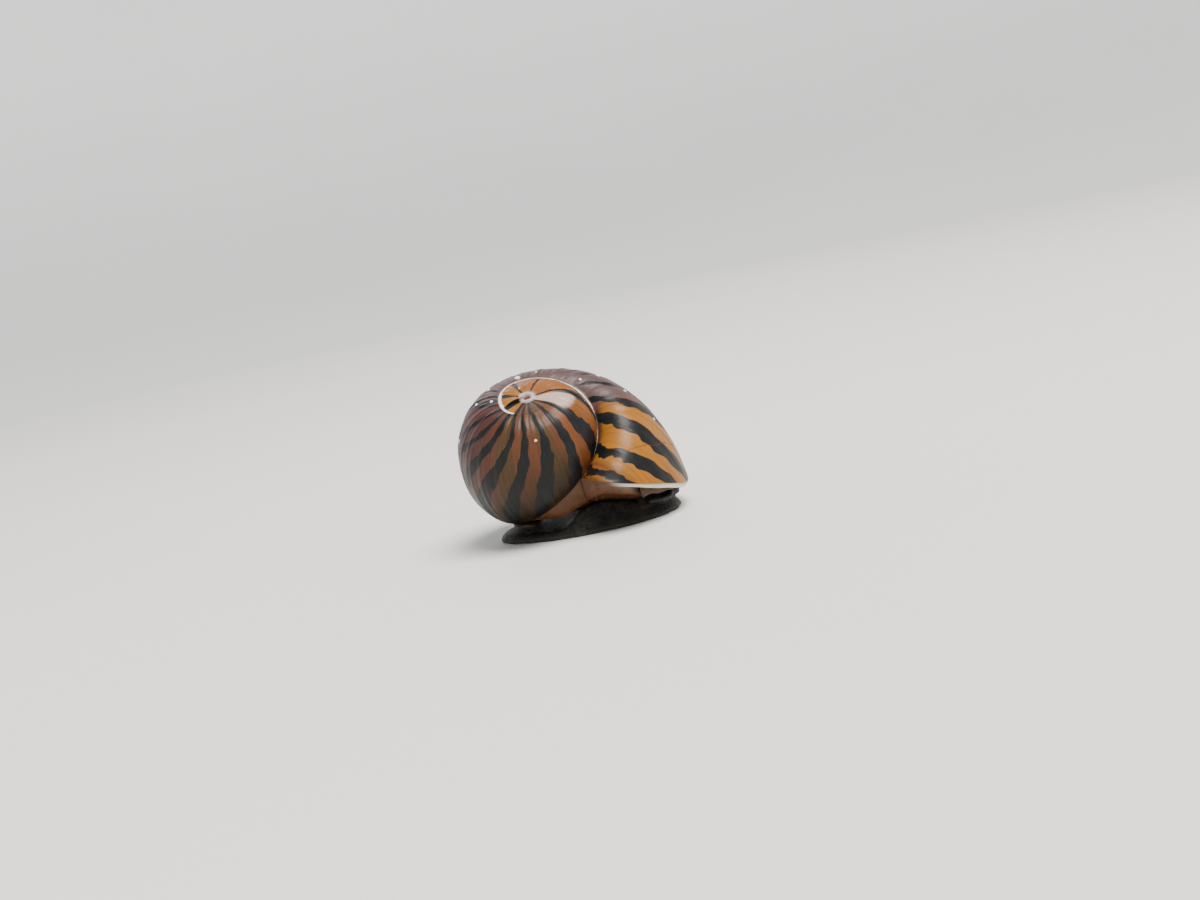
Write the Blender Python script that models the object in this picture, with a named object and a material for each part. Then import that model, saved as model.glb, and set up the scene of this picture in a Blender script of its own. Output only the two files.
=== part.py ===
"""A zebra nerite snail, crawling, at life size: shell, operculum, mantle, foot, head, tentacles and eyes."""

from math import cos, pi, radians, sin, sqrt, tau

import bmesh
import bpy
import numpy as np
from mathutils import Vector

MM = 0.001
GAP = 0.32  # clearance between neighbouring pieces, in mm as are all lengths below

# The shell is an elliptical whorl carried round its coiling axis. Its sizes are given at these turns.
TURNS = (-2.0, -1.0, -0.5, 0.0, 0.12)
WHORL_OFFSET = (1.29, 2.34, 3.36, 7.94, 8.13)  # coiling axis to the middle of the whorl
WHORL_HALF_WIDTH = (1.59, 3.67, 5.645, 5.31, 6.87)
WHORL_HALF_HEIGHT = (1.64, 4.33, 8.27, 11.40, 11.40)
WHORL_DEPTH = (0.90, 4.19, 7.885, 16.17, 18.32)  # apex down to the middle of the whorl
LIP_ANGLE = 0.45  # angle round the axis where the outer lip meets the suture
TURNS_MADE = 1.75
STEPS_A_TURN = 64
STEPS_A_RIB = 24
APEX_RINGS = (0.7, 0.4)
APEX_DOME = 0.22

# X is forward, Z is up, and the middle of the sole is the origin. The coiling axis leans to the right.
APEX = np.array((-3.40, -4.85, 13.81))
AXIS = np.array((-0.0832, -0.4671, 0.8803))
START_DIRECTION = np.array((0.803, -0.5545, -0.2183))

# The underside: the outer lip, arched on the right, and the callus deck behind the opening.
LIP_LOW = 2.5
LIP_SLOPE = 0.293  # rise for each mm back from the front, on the right side
LIP_SIDE_SLOPE = 0.036
LIP_REFERENCE = (5.34, -6.24, 4.2)  # a point on the arched side's plane
ARCH_SIDE = (-6.5, -0.5)  # y where the arch is whole, and where it has gone
DECK_LOW = 1.95
DECK_BELOW_LIP = 1.35
DECK_RISE = (-3.0, 2.5)  # x where the deck starts to rise, and where it has risen
CALLUS_END = -57  # angle round the section, in degrees, where the callus starts on the whorl before
CALLUS_STEPS = 12
LIP_TAKES_OVER = (0.35, 0.62)  # turns from the start, between which the edge goes from the deck to the lip
SECTION_START = 200  # angles round the section, in degrees, between which its crossings are sought
SECTION_END = (-60, -120)  # with the whorl before, and with the underside
SECTION_SAMPLES = 521
UNDERSIDE_CENTRE = (1.0, 1.5)
UNDERSIDE_RINGS = (0.96, 0.92, 0.88, 0.84, 0.66, 0.44, 0.22)
FLANK = 0.84  # share of the underside's radius where the lip's flank meets the deck
FLANK_CURVE = 1.5
OPENING_SHARE = 0.915  # the same share for the inside of the lip
DECK_EDGE_X = 5.0
DECK_EDGE_BOW = 0.8
DECK_EDGE_STEPS = 14
OPENING_REAR = 0.4  # how far in front of the deck's edge the outline leaves the lip
OPENING_LOW = 0.6
OPENING_STRAIGHT = 0.25  # height above the lip to which the aperture's wall is upright
OPENING_TOP = 5.3
OPENING_TOP_SCALE = 0.55
MANTLE_ABOVE_LIP = 0.05
MANTLE_LOW = 2.85  # under the arch the mantle hangs lower than the lip

FOOT_LENGTH = 18.6
FOOT_WIDTH = 12.4
FOOT_SQUARENESS = 2.3
FOOT_REAR_TAPER = 0.16
FOOT_STEPS = 72
SOLE_SHARE = 0.96
MARGIN_HEIGHT = 0.35
SHOULDER_HEIGHT = 0.7
SHOULDER_SHARE = 0.965
BACK_SHARES = (0.9, 0.83, 0.76, 0.66, 0.5, 0.32, 0.16)
FLANK_SLOPE = 1.7
FOOT_REAR_HEIGHT = 0.85
FOOT_BACK_RISE = (-3.2, -0.6)  # x where the foot's back leaves the operculum and reaches the deck

HEAD_CENTRE = (7.8, 1.0, 1.7)
HEAD_SIZE = (1.62, 2.3, 0.8)
HEAD_STEPS = (36, 26)
SNOUT_DROP = 0.25
SNOUT_NARROWING = 0.12
CLEFT = (0.13, 0.18)  # depth and half width of the cleft between the lobes, as shares of the head
MOUTH = (0.10, -0.15, 0.16)  # depth, height and half height of the mouth, as the same shares
MOUTH_SIDE = (0.35, 0.6)

TENTACLE_RADII = (0.3, 0.25)
TENTACLE_ROUTES = {
    "right": ((8.0, -1.2, 1.75), (8.2, -2.4, 1.75), (7.9, -3.8, 1.7), (7.1, -5.0, 1.8), (6.0, -5.9, 2.0)),
    "left": ((8.0, 3.2, 1.75), (8.4, 4.5, 1.7), (8.3, 6.0, 1.6), (7.7, 7.5, 1.5), (6.8, 8.7, 1.4)),
}
FEELER_STEPS = 18
FEELER_SIDES = 12
FEELER_END = 0.6  # place of the ring that rounds an end, as a share of the radius
EYE_RADIUS = 0.25
EYE_SEGMENTS = (20, 12)
EYE_HEIGHT = 2.08
EYE_STALK_RADIUS = 0.24
EYE_STALK_ROOT = (-0.75, 1.9, -0.1)  # from the head's middle, and below the eye
EYE_STALK_TIP = (-0.95, 2.75, 0.0)
EYE_BACK = 0.1

OPERCULUM_CENTRE = (-5.6, 0.9, 1.39)
OPERCULUM_SIZE = (4.2, 6.4, 0.4)
OPERCULUM_FRONT = 0.45  # the front's half length as a share of the rear's
OPERCULUM_STEPS = 36
OPERCULUM_PROFILE = ((0.94, -0.5), (1.0, -0.1), (0.96, 0.3), (0.6, 0.5))  # share of the outline, and level
OPERCULUM_TOP = 0.55


def smooth_step(value, low, high):
    share = np.clip((value - low) / (high - low), 0.0, 1.0)
    return share * share * (3 - 2 * share)


def clear_scene():
    for old in list(bpy.data.objects):
        bpy.data.objects.remove(old, do_unlink=True)


def material(name, colour, roughness):
    finish = bpy.data.materials.new(name)
    finish.use_nodes = True
    shader = finish.node_tree.nodes["Principled BSDF"]
    shader.inputs["Base Color"].default_value = (*colour, 1)
    shader.inputs["Roughness"].default_value = roughness
    shader.inputs["Metallic"].default_value = 0.0
    finish.diffuse_color = (*colour, 1)
    return finish


def solid(name, points, faces, finish):
    """A closed mesh object from points in mm, with its faces turned outwards."""
    mesh = bpy.data.meshes.new(name)
    mesh.from_pydata([tuple(float(v) * MM for v in point) for point in points], [], faces)
    made = bmesh.new()
    made.from_mesh(mesh)
    bmesh.ops.triangulate(made, faces=[face for face in made.faces if len(face.verts) > 3])
    bmesh.ops.recalc_face_normals(made, faces=made.faces)
    if made.calc_volume(signed=True) < 0:
        bmesh.ops.reverse_faces(made, faces=made.faces)
    made.to_mesh(mesh)
    made.free()
    mesh.shade_smooth()
    mesh.set_sharp_from_angle(angle=radians(40))
    mesh.materials.append(finish)
    piece = bpy.data.objects.new(name, mesh)
    bpy.context.scene.collection.objects.link(piece)
    return piece


def hide(cutter):
    cutter.hide_render = True
    cutter.display_type = "WIRE"
    return cutter


def combine(piece, other, operation):
    """Cuts another object from a piece, or joins it, and applies the result."""
    change = piece.modifiers.new(operation.lower(), "BOOLEAN")
    change.operation = operation
    change.object = other
    bpy.context.view_layer.update()
    graph = bpy.context.evaluated_depsgraph_get()
    result = bpy.data.meshes.new_from_object(piece.evaluated_get(graph))
    piece.modifiers.clear()
    piece.data = result
    bpy.data.objects.remove(other, do_unlink=True)


def swollen(piece, distance):
    """A copy of a piece pushed outwards along its normals, which clears a space round it."""
    copy = bpy.data.objects.new("clearance", piece.data.copy())
    bpy.context.scene.collection.objects.link(copy)
    normals = [vertex.normal.copy() for vertex in copy.data.vertices]
    for vertex, normal in zip(copy.data.vertices, normals):
        vertex.co += normal * distance * MM
    return hide(copy)


def clear_round(piece, others):
    """Cuts the clearance round a piece out of its neighbours."""
    for other in others:
        combine(other, swollen(piece, GAP), "DIFFERENCE")


def ring_faces(first, second):
    count = len(first)
    return [
        (first[k], first[(k + 1) % count], second[(k + 1) % count], second[k]) for k in range(count)
    ]


def grown(sizes, angle):
    """Size at an angle: the logs of the sizes joined by a monotone cubic, straight before the first."""
    knots = np.array(TURNS) * tau
    logs = np.log(np.array(sizes))
    steps = np.diff(knots)
    slopes = np.diff(logs) / steps
    before, after = slopes[:-1], slopes[1:]
    near, far = 2 * steps[1:] + steps[:-1], steps[1:] + 2 * steps[:-1]
    alike = before * after > 0
    mean = (near + far) / (near / np.where(alike, before, 1) + far / np.where(alike, after, 1))
    ends = np.concatenate([slopes[:1], np.where(alike, mean, 0.0), slopes[-1:]])
    angle = np.asarray(angle, float)
    inside = np.clip(angle, knots[0], knots[-1])
    piece = np.clip(np.searchsorted(knots, inside, side="right") - 1, 0, len(steps) - 1)
    step = steps[piece]
    share = (inside - knots[piece]) / step
    log = (
        logs[piece] * (1 + 2 * share) * (1 - share) ** 2
        + ends[piece] * step * share * (1 - share) ** 2
        + logs[piece + 1] * share**2 * (3 - 2 * share)
        + ends[piece + 1] * step * share**2 * (share - 1)
    )
    return np.exp(log + np.minimum(angle - knots[0], 0.0) * slopes[0])


def whorl_sizes(angle):
    sizes = WHORL_OFFSET, WHORL_HALF_WIDTH, WHORL_HALF_HEIGHT, WHORL_DEPTH
    return [grown(size, angle) for size in sizes]


def whorl_point(angle, rib):
    """Point on the whorl at an angle round the axis and an angle round its own section."""
    offset, width, height, depth = whorl_sizes(angle)
    across = np.cross(AXIS, START_DIRECTION)
    out = np.asarray(offset + width * np.cos(rib))[..., None]
    up = np.asarray(height * np.sin(rib) - depth)[..., None]
    turn = np.asarray(angle, float)[..., None]
    return APEX + out * (START_DIRECTION * np.cos(turn) - across * np.sin(turn)) + up * AXIS


def rib_of(point, angle):
    """Angle round the section at which a point of the whorl lies."""
    offset, width, height, depth = whorl_sizes(angle)
    up = (point - APEX) @ AXIS
    out = np.linalg.norm(point - APEX - up * AXIS)
    return np.arctan2((up + depth) / height, (out - offset) / width)


def suture_rib(angle):
    """Angle round the section where the whorl leaves the one before it."""
    ribs = np.radians(np.linspace(SECTION_START, SECTION_END[0], SECTION_SAMPLES))
    offset, width, height, depth = whorl_sizes(angle)
    offset_in, width_in, height_in, depth_in = whorl_sizes(angle - tau)
    out = offset + width * np.cos(ribs)
    up = height * np.sin(ribs) - depth
    field = ((out - offset_in) / width_in) ** 2 + ((up + depth_in) / height_in) ** 2 - 1
    last = np.flatnonzero(field < 0)[-1]
    share = field[last] / (field[last] - field[last + 1])
    return ribs[last] + share * (ribs[last + 1] - ribs[last])


def lip_height(x, y):
    """Height of the outer lip above the floor."""
    back = LIP_REFERENCE[0] - x
    plane = LIP_REFERENCE[2] + LIP_SLOPE * back + LIP_SIDE_SLOPE * (LIP_REFERENCE[1] - y)
    arched = 1 - smooth_step(y, *ARCH_SIDE)
    return LIP_LOW + arched * np.maximum(plane - LIP_LOW, 0.0)


def deck_height(x, y):
    """Height of the callus deck: level on the left and behind, higher under the arch of the lip."""
    raised = np.maximum(lip_height(x, y) - DECK_BELOW_LIP - DECK_LOW, 0.0)
    return DECK_LOW + raised * smooth_step(x, *DECK_RISE)


def cut_rib(angle, step, lip_rib):
    """Angle round the section where the whorl ends at the underside, so many steps from its start."""
    if step < CALLUS_STEPS:
        return lip_rib + (radians(CALLUS_END) - lip_rib) * step / CALLUS_STEPS
    ribs = np.linspace(suture_rib(angle), radians(SECTION_END[1]), SECTION_SAMPLES)
    points = whorl_point(np.full(len(ribs), angle), ribs)
    lip_share = smooth_step(step / STEPS_A_TURN, *LIP_TAKES_OVER)
    level = DECK_LOW + lip_share * (lip_height(points[:, 0], points[:, 1]) - DECK_LOW)
    over = points[:, 2] - level
    first = np.flatnonzero(over < 0)[0]
    share = over[first - 1] / (over[first - 1] - over[first])
    return ribs[first - 1] + share * (ribs[first] - ribs[first - 1])


def underside_point(edge, share):
    """Point of the underside between its middle and a point of its edge."""
    centre = np.array(UNDERSIDE_CENTRE)
    place = centre + share * (edge[:2] - centre)
    deck = deck_height(*place)
    rise = max((share - FLANK) / (1 - FLANK), 0.0) ** FLANK_CURVE
    return np.array((*place, deck + max(edge[2] - deck, 0.0) * rise))


def shell_surface():
    """Points and faces of the shell before its opening is cut, and the edge of its underside."""
    rows = int(TURNS_MADE * STEPS_A_TURN)
    first_open = rows - STEPS_A_TURN
    angles = LIP_ANGLE + (np.arange(rows + 1) - rows) * tau / STEPS_A_TURN
    tops = [suture_rib(angle) for angle in angles]
    sutures = [whorl_point(angle, top) for angle, top in zip(angles, tops)]
    points = list(sutures)
    lip_rib = rib_of(sutures[rows], angles[first_open])
    grid = []
    for row in range(rows):
        if row <= first_open:
            end = rib_of(sutures[row + STEPS_A_TURN], angles[row])
            last = row + STEPS_A_TURN
        else:
            end = cut_rib(angles[row], row - first_open, lip_rib)
            points.append(whorl_point(angles[row], end))
            last = len(points) - 1
        line = [row]
        for k in range(1, STEPS_A_RIB):
            rib = tops[row] + (end - tops[row]) * k / STEPS_A_RIB
            points.append(whorl_point(angles[row], rib))
            line.append(len(points) - 1)
        grid.append(line + [last])
    grid.append([rows] * (STEPS_A_RIB + 1))
    faces = []
    for line, following in zip(grid, grid[1:]):
        for k in range(STEPS_A_RIB):
            corners = (line[k], following[k], following[k + 1], line[k + 1])
            faces.append(tuple(dict.fromkeys(corners)))
    edge = [line[-1] for line in grid[first_open:rows]]
    apex_edge = list(range(STEPS_A_TURN + 1)) + grid[0][-2:0:-1]
    faces += dome(points, apex_edge, APEX_RINGS, apex_point)
    faces += dome(points, edge, UNDERSIDE_RINGS, underside_point)
    return points, faces, np.array([points[k] for k in edge])


def apex_point(edge, share):
    """Point of the eroded first whorls, a low dome over the apex."""
    return APEX + share * (edge - APEX) + APEX_DOME * (share - share**2) * AXIS


def dome(points, edge, rings, place):
    """Rings of points from an edge in to one middle point, and the faces between them."""
    faces = []
    before = edge
    for share in rings:
        start = len(points)
        points.extend([place(points[k], share) for k in edge])
        ring = list(range(start, len(points)))
        faces += ring_faces(before, ring)
        before = ring
    points.append(place(points[edge[0]], 0.0))
    middle = len(points) - 1
    faces += [(before[k - 1], before[k], middle) for k in range(len(before))]
    return faces


def opening_outline(edge):
    """Outline of the aperture in X and Y: inside the outer lip, and closed by the deck's bowed edge."""
    centre = np.array(UNDERSIDE_CENTRE)
    arc = [centre + OPENING_SHARE * (point[:2] - centre) for point in edge]
    arc = [point for point in arc if point[0] > DECK_EDGE_X + OPENING_REAR]
    left, right = arc[0][1], arc[-1][1]
    deck = []
    for k in range(1, DECK_EDGE_STEPS):
        y = right + (left - right) * k / DECK_EDGE_STEPS
        bow = DECK_EDGE_BOW * sin(pi * k / DECK_EDGE_STEPS)
        deck.append(np.array((DECK_EDGE_X + bow, y)))
    return np.array(arc + deck)


def inset(outline, distance):
    """The outline moved inwards by a distance, corner by corner."""
    ahead = np.roll(outline, -1, axis=0) - outline
    ahead /= np.linalg.norm(ahead, axis=1)[:, None]
    along = ahead + np.roll(ahead, 1, axis=0)
    along /= np.linalg.norm(along, axis=1)[:, None]
    following = np.roll(outline, -1, axis=0)
    area = np.sum(outline[:, 0] * following[:, 1] - outline[:, 1] * following[:, 0])
    inward = np.stack([-along[:, 1], along[:, 0]], axis=1) * np.sign(area)
    return outline + inward * distance


def plug(name, outline, bottom, top, finish):
    """A closed block inside the aperture: straight at the lip, narrower towards its top."""
    centre = outline.mean(axis=0)
    narrow = centre + OPENING_TOP_SCALE * (outline - centre)
    low = [(x, y, bottom(x, y)) for x, y in outline]
    level = [(x, y, float(lip_height(x, y)) + OPENING_STRAIGHT) for x, y in outline]
    high = [(x, y, top) for x, y in narrow]
    points = low + level + high
    count = len(outline)
    rings = [list(range(k * count, (k + 1) * count)) for k in range(3)]
    faces = ring_faces(rings[0], rings[1]) + ring_faces(rings[1], rings[2])
    for ring in (rings[0], rings[2]):
        points.append(np.mean([points[k] for k in ring], axis=0))
        faces += [(ring[k - 1], ring[k], len(points) - 1) for k in range(count)]
    return solid(name, points, faces, finish)


def mantle_low(x, y):
    """Height of the mantle's underside: just inside the lip, and lower under its arch."""
    return min(float(lip_height(x, y)) + MANTLE_ABOVE_LIP, MANTLE_LOW)


def foot_top(x, y):
    """Height of the foot's back: under the deck by the clearance, and lower behind for the operculum."""
    deck = deck_height(x, y) - GAP
    back = smooth_step(x, *FOOT_BACK_RISE)
    return FOOT_REAR_HEIGHT + back * (deck - FOOT_REAR_HEIGHT)


def foot_solid(finish):
    """The foot: a flat oval sole, a thin margin, and flanks that rise to the underside of the shell."""
    edge = ((SOLE_SHARE, 0.0), (1.0, MARGIN_HEIGHT), (SHOULDER_SHARE, SHOULDER_HEIGHT))
    outline = []
    for k in range(FOOT_STEPS):
        turn = tau * k / FOOT_STEPS
        power = 2 / FOOT_SQUARENESS
        x = FOOT_LENGTH / 2 * abs(cos(turn)) ** power * np.sign(cos(turn))
        y = FOOT_WIDTH / 2 * abs(sin(turn)) ** power * np.sign(sin(turn))
        y *= 1 - FOOT_REAR_TAPER * smooth_step(-x, 0.0, FOOT_LENGTH / 2)
        outline.append((x, y))
    rows = [[(x * share, y * share, level) for x, y in outline] for share, level in edge]
    for share in BACK_SHARES:
        rise = SHOULDER_HEIGHT + (SHOULDER_SHARE - share) * FOOT_WIDTH / 2 * FLANK_SLOPE
        places = [(x * share, y * share) for x, y in outline]
        rows.append([(x, y, min(rise, float(foot_top(x, y)))) for x, y in places])
    points = [(0.0, 0.0, 0.0)]
    rings = []
    for row in rows:
        rings.append(list(range(len(points), len(points) + len(row))))
        points += row
    points.append((0.0, 0.0, float(foot_top(0.0, 0.0))))
    faces = [(0, rings[0][k - 1], rings[0][k]) for k in range(FOOT_STEPS)]
    for first, second in zip(rings, rings[1:]):
        faces += ring_faces(first, second)
    faces += [(rings[-1][k - 1], rings[-1][k], len(points) - 1) for k in range(FOOT_STEPS)]
    return solid("foot", points, faces, finish)


def head_solid(finish):
    """The head: a broad, low snout with two lobes, drooping to a mouth between them in front."""
    around, along = HEAD_STEPS
    points, faces, rings = [], [], []
    centre, size = np.array(HEAD_CENTRE), np.array(HEAD_SIZE)
    for row in range(1, along):
        lean = pi * row / along - pi / 2
        ring = []
        for k in range(around):
            turn = tau * k / around
            unit = np.array((cos(lean) * cos(turn), cos(lean) * sin(turn), sin(lean)))
            front = smooth_step(unit[0], 0.2, 1.0)
            cleft = 1 - CLEFT[0] * front * np.exp(-((unit[1] / CLEFT[1]) ** 2))
            middle = 1 - smooth_step(abs(unit[1]), *MOUTH_SIDE)
            mouth = 1 - MOUTH[0] * front * middle * np.exp(-(((unit[2] - MOUTH[1]) / MOUTH[2]) ** 2))
            place = centre + unit * size * np.array((cleft * mouth, 1 - SNOUT_NARROWING * front, 1.0))
            place[2] -= SNOUT_DROP * front
            points.append(place)
            ring.append(len(points) - 1)
        rings.append(ring)
    for first, second in zip(rings, rings[1:]):
        faces += ring_faces(first, second)
    for ring, sign in ((rings[0], -1), (rings[-1], 1)):
        points.append(centre + (0, 0, sign * size[2]))
        faces += [(ring[k - 1], ring[k], len(points) - 1) for k in range(around)]
    return solid("head", points, faces, finish)


def feeler(name, route, radii, finish):
    """A tapered tube along a smooth curve through a few places, with round ends."""
    route = np.array(route, float)
    knots = np.arange(len(route))
    fine = np.linspace(0, len(route) - 1, FEELER_STEPS)
    line = np.stack([hermite(knots, route[:, axis], fine) for axis in range(3)], axis=1)
    ahead = np.gradient(line, axis=0)
    ahead /= np.linalg.norm(ahead, axis=1)[:, None]
    thick = np.interp(fine / fine[-1], (0, 1), radii)
    reach = thick * FEELER_END
    rounded = thick * sqrt(1 - FEELER_END**2)
    centres = [line[0] - ahead[0] * reach[0], *line, line[-1] + ahead[-1] * reach[-1]]
    widths = [rounded[0], *thick, rounded[-1]]
    heading = [ahead[0]] + list(ahead) + [ahead[-1]]
    points, rings = [], []
    for centre, width, forward in zip(centres, widths, heading):
        side = np.cross(forward, (0, 0, 1))
        side /= np.linalg.norm(side)
        up = np.cross(side, forward)
        ring = []
        for k in range(FEELER_SIDES):
            turn = tau * k / FEELER_SIDES
            points.append(centre + width * (side * cos(turn) + up * sin(turn)))
            ring.append(len(points) - 1)
        rings.append(ring)
    faces = []
    for first, second in zip(rings, rings[1:]):
        faces += ring_faces(first, second)
    root = line[0] - ahead[0] * thick[0]
    tip = line[-1] + ahead[-1] * thick[-1]
    for ring, end in ((rings[0], root), (rings[-1], tip)):
        points.append(end)
        faces += [(ring[k - 1], ring[k], len(points) - 1) for k in range(FEELER_SIDES)]
    return solid(name, points, faces, finish)


def hermite(knots, values, places):
    """Smooth curve through values at whole knots, each with the mean slope of its neighbours."""
    slopes = np.gradient(values)
    piece = np.clip(places.astype(int), 0, len(knots) - 2)
    share = places - piece
    return (
        values[piece] * (1 + 2 * share) * (1 - share) ** 2
        + slopes[piece] * share * (1 - share) ** 2
        + values[piece + 1] * share**2 * (3 - 2 * share)
        + slopes[piece + 1] * share**2 * (share - 1)
    )


def ball(name, centre, radius, finish):
    made = bmesh.new()
    around, along = EYE_SEGMENTS
    bmesh.ops.create_uvsphere(made, u_segments=around, v_segments=along, radius=radius * MM)
    bmesh.ops.translate(made, verts=made.verts, vec=Vector([v * MM for v in centre]))
    mesh = bpy.data.meshes.new(name)
    made.to_mesh(mesh)
    made.free()
    mesh.shade_smooth()
    mesh.materials.append(finish)
    piece = bpy.data.objects.new(name, mesh)
    bpy.context.scene.collection.objects.link(piece)
    return piece


def operculum_solid(finish):
    """The operculum: a half-moon plate with a low dome, its straight side forward."""
    length, width, thick = OPERCULUM_SIZE
    centre = np.array(OPERCULUM_CENTRE)
    outline = []
    for k in range(OPERCULUM_STEPS):
        turn = tau * k / OPERCULUM_STEPS
        x = cos(turn) * length / 2
        if x > 0:
            x *= OPERCULUM_FRONT
        outline.append((x, sin(turn) * width / 2))
    points, rings = [], []
    for share, level in OPERCULUM_PROFILE:
        ring = []
        for x, y in outline:
            points.append(centre + (x * share, y * share, level * thick))
            ring.append(len(points) - 1)
        rings.append(ring)
    faces = []
    for first, second in zip(rings, rings[1:]):
        faces += ring_faces(first, second)
    for ring, level in ((rings[0], OPERCULUM_PROFILE[0][1]), (rings[-1], OPERCULUM_TOP)):
        points.append(centre + (0, 0, level * thick))
        faces += [(ring[k - 1], ring[k], len(points) - 1) for k in range(OPERCULUM_STEPS)]
    return solid("operculum", points, faces, finish)


def build():
    clear_scene()
    shell_finish = material("shell_enamel", (0.52, 0.25, 0.06), 0.25)
    operculum_finish = material("operculum_plate", (0.35, 0.30, 0.22), 0.35)
    flesh_finish = material("dark_flesh", (0.035, 0.032, 0.025), 0.4)
    mantle_finish = material("mantle_flesh", (0.07, 0.06, 0.04), 0.4)
    eye_finish = material("eye_black", (0.01, 0.01, 0.012), 0.1)

    points, faces, edge = shell_surface()
    shell = solid("shell", points, faces, shell_finish)
    outline = opening_outline(edge)
    opening = hide(plug("opening", outline, lambda x, y: OPENING_LOW, OPENING_TOP, shell_finish))
    combine(shell, opening, "DIFFERENCE")
    mantle = plug("mantle", inset(outline, GAP), mantle_low, OPENING_TOP - GAP, mantle_finish)
    foot = foot_solid(flesh_finish)
    head = head_solid(flesh_finish)
    operculum_solid(operculum_finish)
    clear_round(head, (foot, mantle))
    for side, route in TENTACLE_ROUTES.items():
        tentacle = feeler("tentacle_" + side, route, TENTACLE_RADII, flesh_finish)
        clear_round(head, (tentacle,))
        clear_round(tentacle, (foot, mantle))
    for side, sign in (("right", -1), ("left", 1)):
        middle = np.array((HEAD_CENTRE[0], HEAD_CENTRE[1], EYE_HEIGHT))
        mirror = np.array((1, sign, 1))
        root = middle + mirror * EYE_STALK_ROOT
        tip = middle + mirror * EYE_STALK_TIP
        route = (root, (root + tip) / 2, tip)
        stalk = feeler("eye_stalk_" + side, route, (EYE_STALK_RADIUS, EYE_STALK_RADIUS), flesh_finish)
        clear_round(head, (stalk,))
        reach = sign * (EYE_STALK_RADIUS + GAP + EYE_RADIUS)
        eye = ball("eye_" + side, tip + (-EYE_BACK, reach, 0), EYE_RADIUS, eye_finish)
        clear_round(stalk, (foot, mantle))
        clear_round(eye, (foot, mantle))


build()
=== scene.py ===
from math import radians, tau

import bpy
import numpy as np
from mathutils import Matrix, Vector


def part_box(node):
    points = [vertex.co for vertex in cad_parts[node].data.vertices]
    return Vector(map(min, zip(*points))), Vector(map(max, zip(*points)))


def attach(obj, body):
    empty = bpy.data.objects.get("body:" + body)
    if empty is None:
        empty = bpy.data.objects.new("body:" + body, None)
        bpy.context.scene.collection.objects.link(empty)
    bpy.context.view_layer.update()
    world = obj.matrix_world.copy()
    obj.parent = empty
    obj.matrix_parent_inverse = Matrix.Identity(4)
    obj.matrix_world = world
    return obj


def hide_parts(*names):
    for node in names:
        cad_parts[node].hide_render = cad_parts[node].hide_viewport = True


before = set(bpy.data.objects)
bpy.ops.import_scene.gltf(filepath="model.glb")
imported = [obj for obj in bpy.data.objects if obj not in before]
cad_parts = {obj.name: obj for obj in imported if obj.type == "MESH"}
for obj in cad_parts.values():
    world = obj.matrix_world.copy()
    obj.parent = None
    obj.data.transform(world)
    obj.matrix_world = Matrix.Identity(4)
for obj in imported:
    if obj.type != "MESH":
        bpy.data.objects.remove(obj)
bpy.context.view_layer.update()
print("frame loaded with", len(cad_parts), "nodes")

mm = 0.001  # shapes below are in millimetres, with X forward, Z up and the middle of the sole at the origin
noneNear = 9.0  # mm, given to a point that has no seam, crack or band near it
fieldKinds = {1: ("FLOAT", "value"), 3: ("FLOAT_VECTOR", "vector"), 4: ("FLOAT_COLOR", "color")}


# Small helpers
def smoothStep(value, low, high):
    # 0 below low, 1 above high, and 3s^2 - 2s^3 of the share between
    share = np.clip((value - low) / (high - low), 0.0, 1.0)
    return share * share * (3 - 2 * share)


def between(value, risesFrom, risesTo, fallsFrom, fallsTo):
    # a smooth step up and, further on, a smooth step down again
    return smoothStep(value, risesFrom, risesTo) * (1 - smoothStep(value, fallsFrom, fallsTo))


def bell(value, width):
    # e to the power -(value / width)^2
    return np.exp(-((value / width) ** 2))


def mixed(first, second, share):
    # straight mix of two colours, point by point
    share = np.asarray(share)[..., None]
    return np.asarray(first) * (1 - share) + np.asarray(second) * share


def opaque(colour):
    return np.concatenate([colour, np.ones((*colour.shape[:-1], 1))], axis=-1)


def withLast(values, last):
    # a grid of values as one list, with one more value at its end
    return np.concatenate([np.reshape(values, (-1, *np.shape(last))), [last]])


def curveThrough(values, shares):
    # smooth curve through values at even shares: a cubic with the mean slope of its neighbours
    values = np.array(values, float)
    slopes = np.gradient(values)
    at = np.clip(shares, 0, 1) * (len(values) - 1)
    piece = np.clip(at.astype(int), 0, len(values) - 2)
    share = at - piece
    return (
        values[piece] * (1 + 2 * share) * (1 - share) ** 2
        + slopes[piece] * share * (1 - share) ** 2
        + values[piece + 1] * share**2 * (3 - 2 * share)
        + slopes[piece + 1] * share**2 * (share - 1)
    )


def makePiece(name, points, faces, fields=None):
    # a mesh object at the origin from points in mm, with a point attribute for each field
    mesh = bpy.data.meshes.new(name)
    mesh.from_pydata((np.asarray(points) * mm).tolist(), [], np.asarray(faces).tolist())
    for field, values in (fields or {}).items():
        kind, slot = fieldKinds[np.size(values[0])]
        layer = mesh.attributes.new(field, kind, "POINT")
        layer.data.foreach_set(slot, np.asarray(values, np.float32).ravel())
    mesh.shade_smooth()
    piece = bpy.data.objects.new(name, mesh)
    bpy.context.scene.collection.objects.link(piece)
    return piece


def gridFaces(index):
    # two triangles for each cell of an index grid, leaving out those that have shrunk to a line
    a, b, c, d = index[:-1, :-1], index[1:, :-1], index[1:, 1:], index[:-1, 1:]
    faces = np.concatenate([np.stack([a, b, c], -1).reshape(-1, 3), np.stack([a, c, d], -1).reshape(-1, 3)])
    same = (faces[:, 0] == faces[:, 1]) | (faces[:, 1] == faces[:, 2]) | (faces[:, 0] == faces[:, 2])
    return faces[~same]


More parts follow.
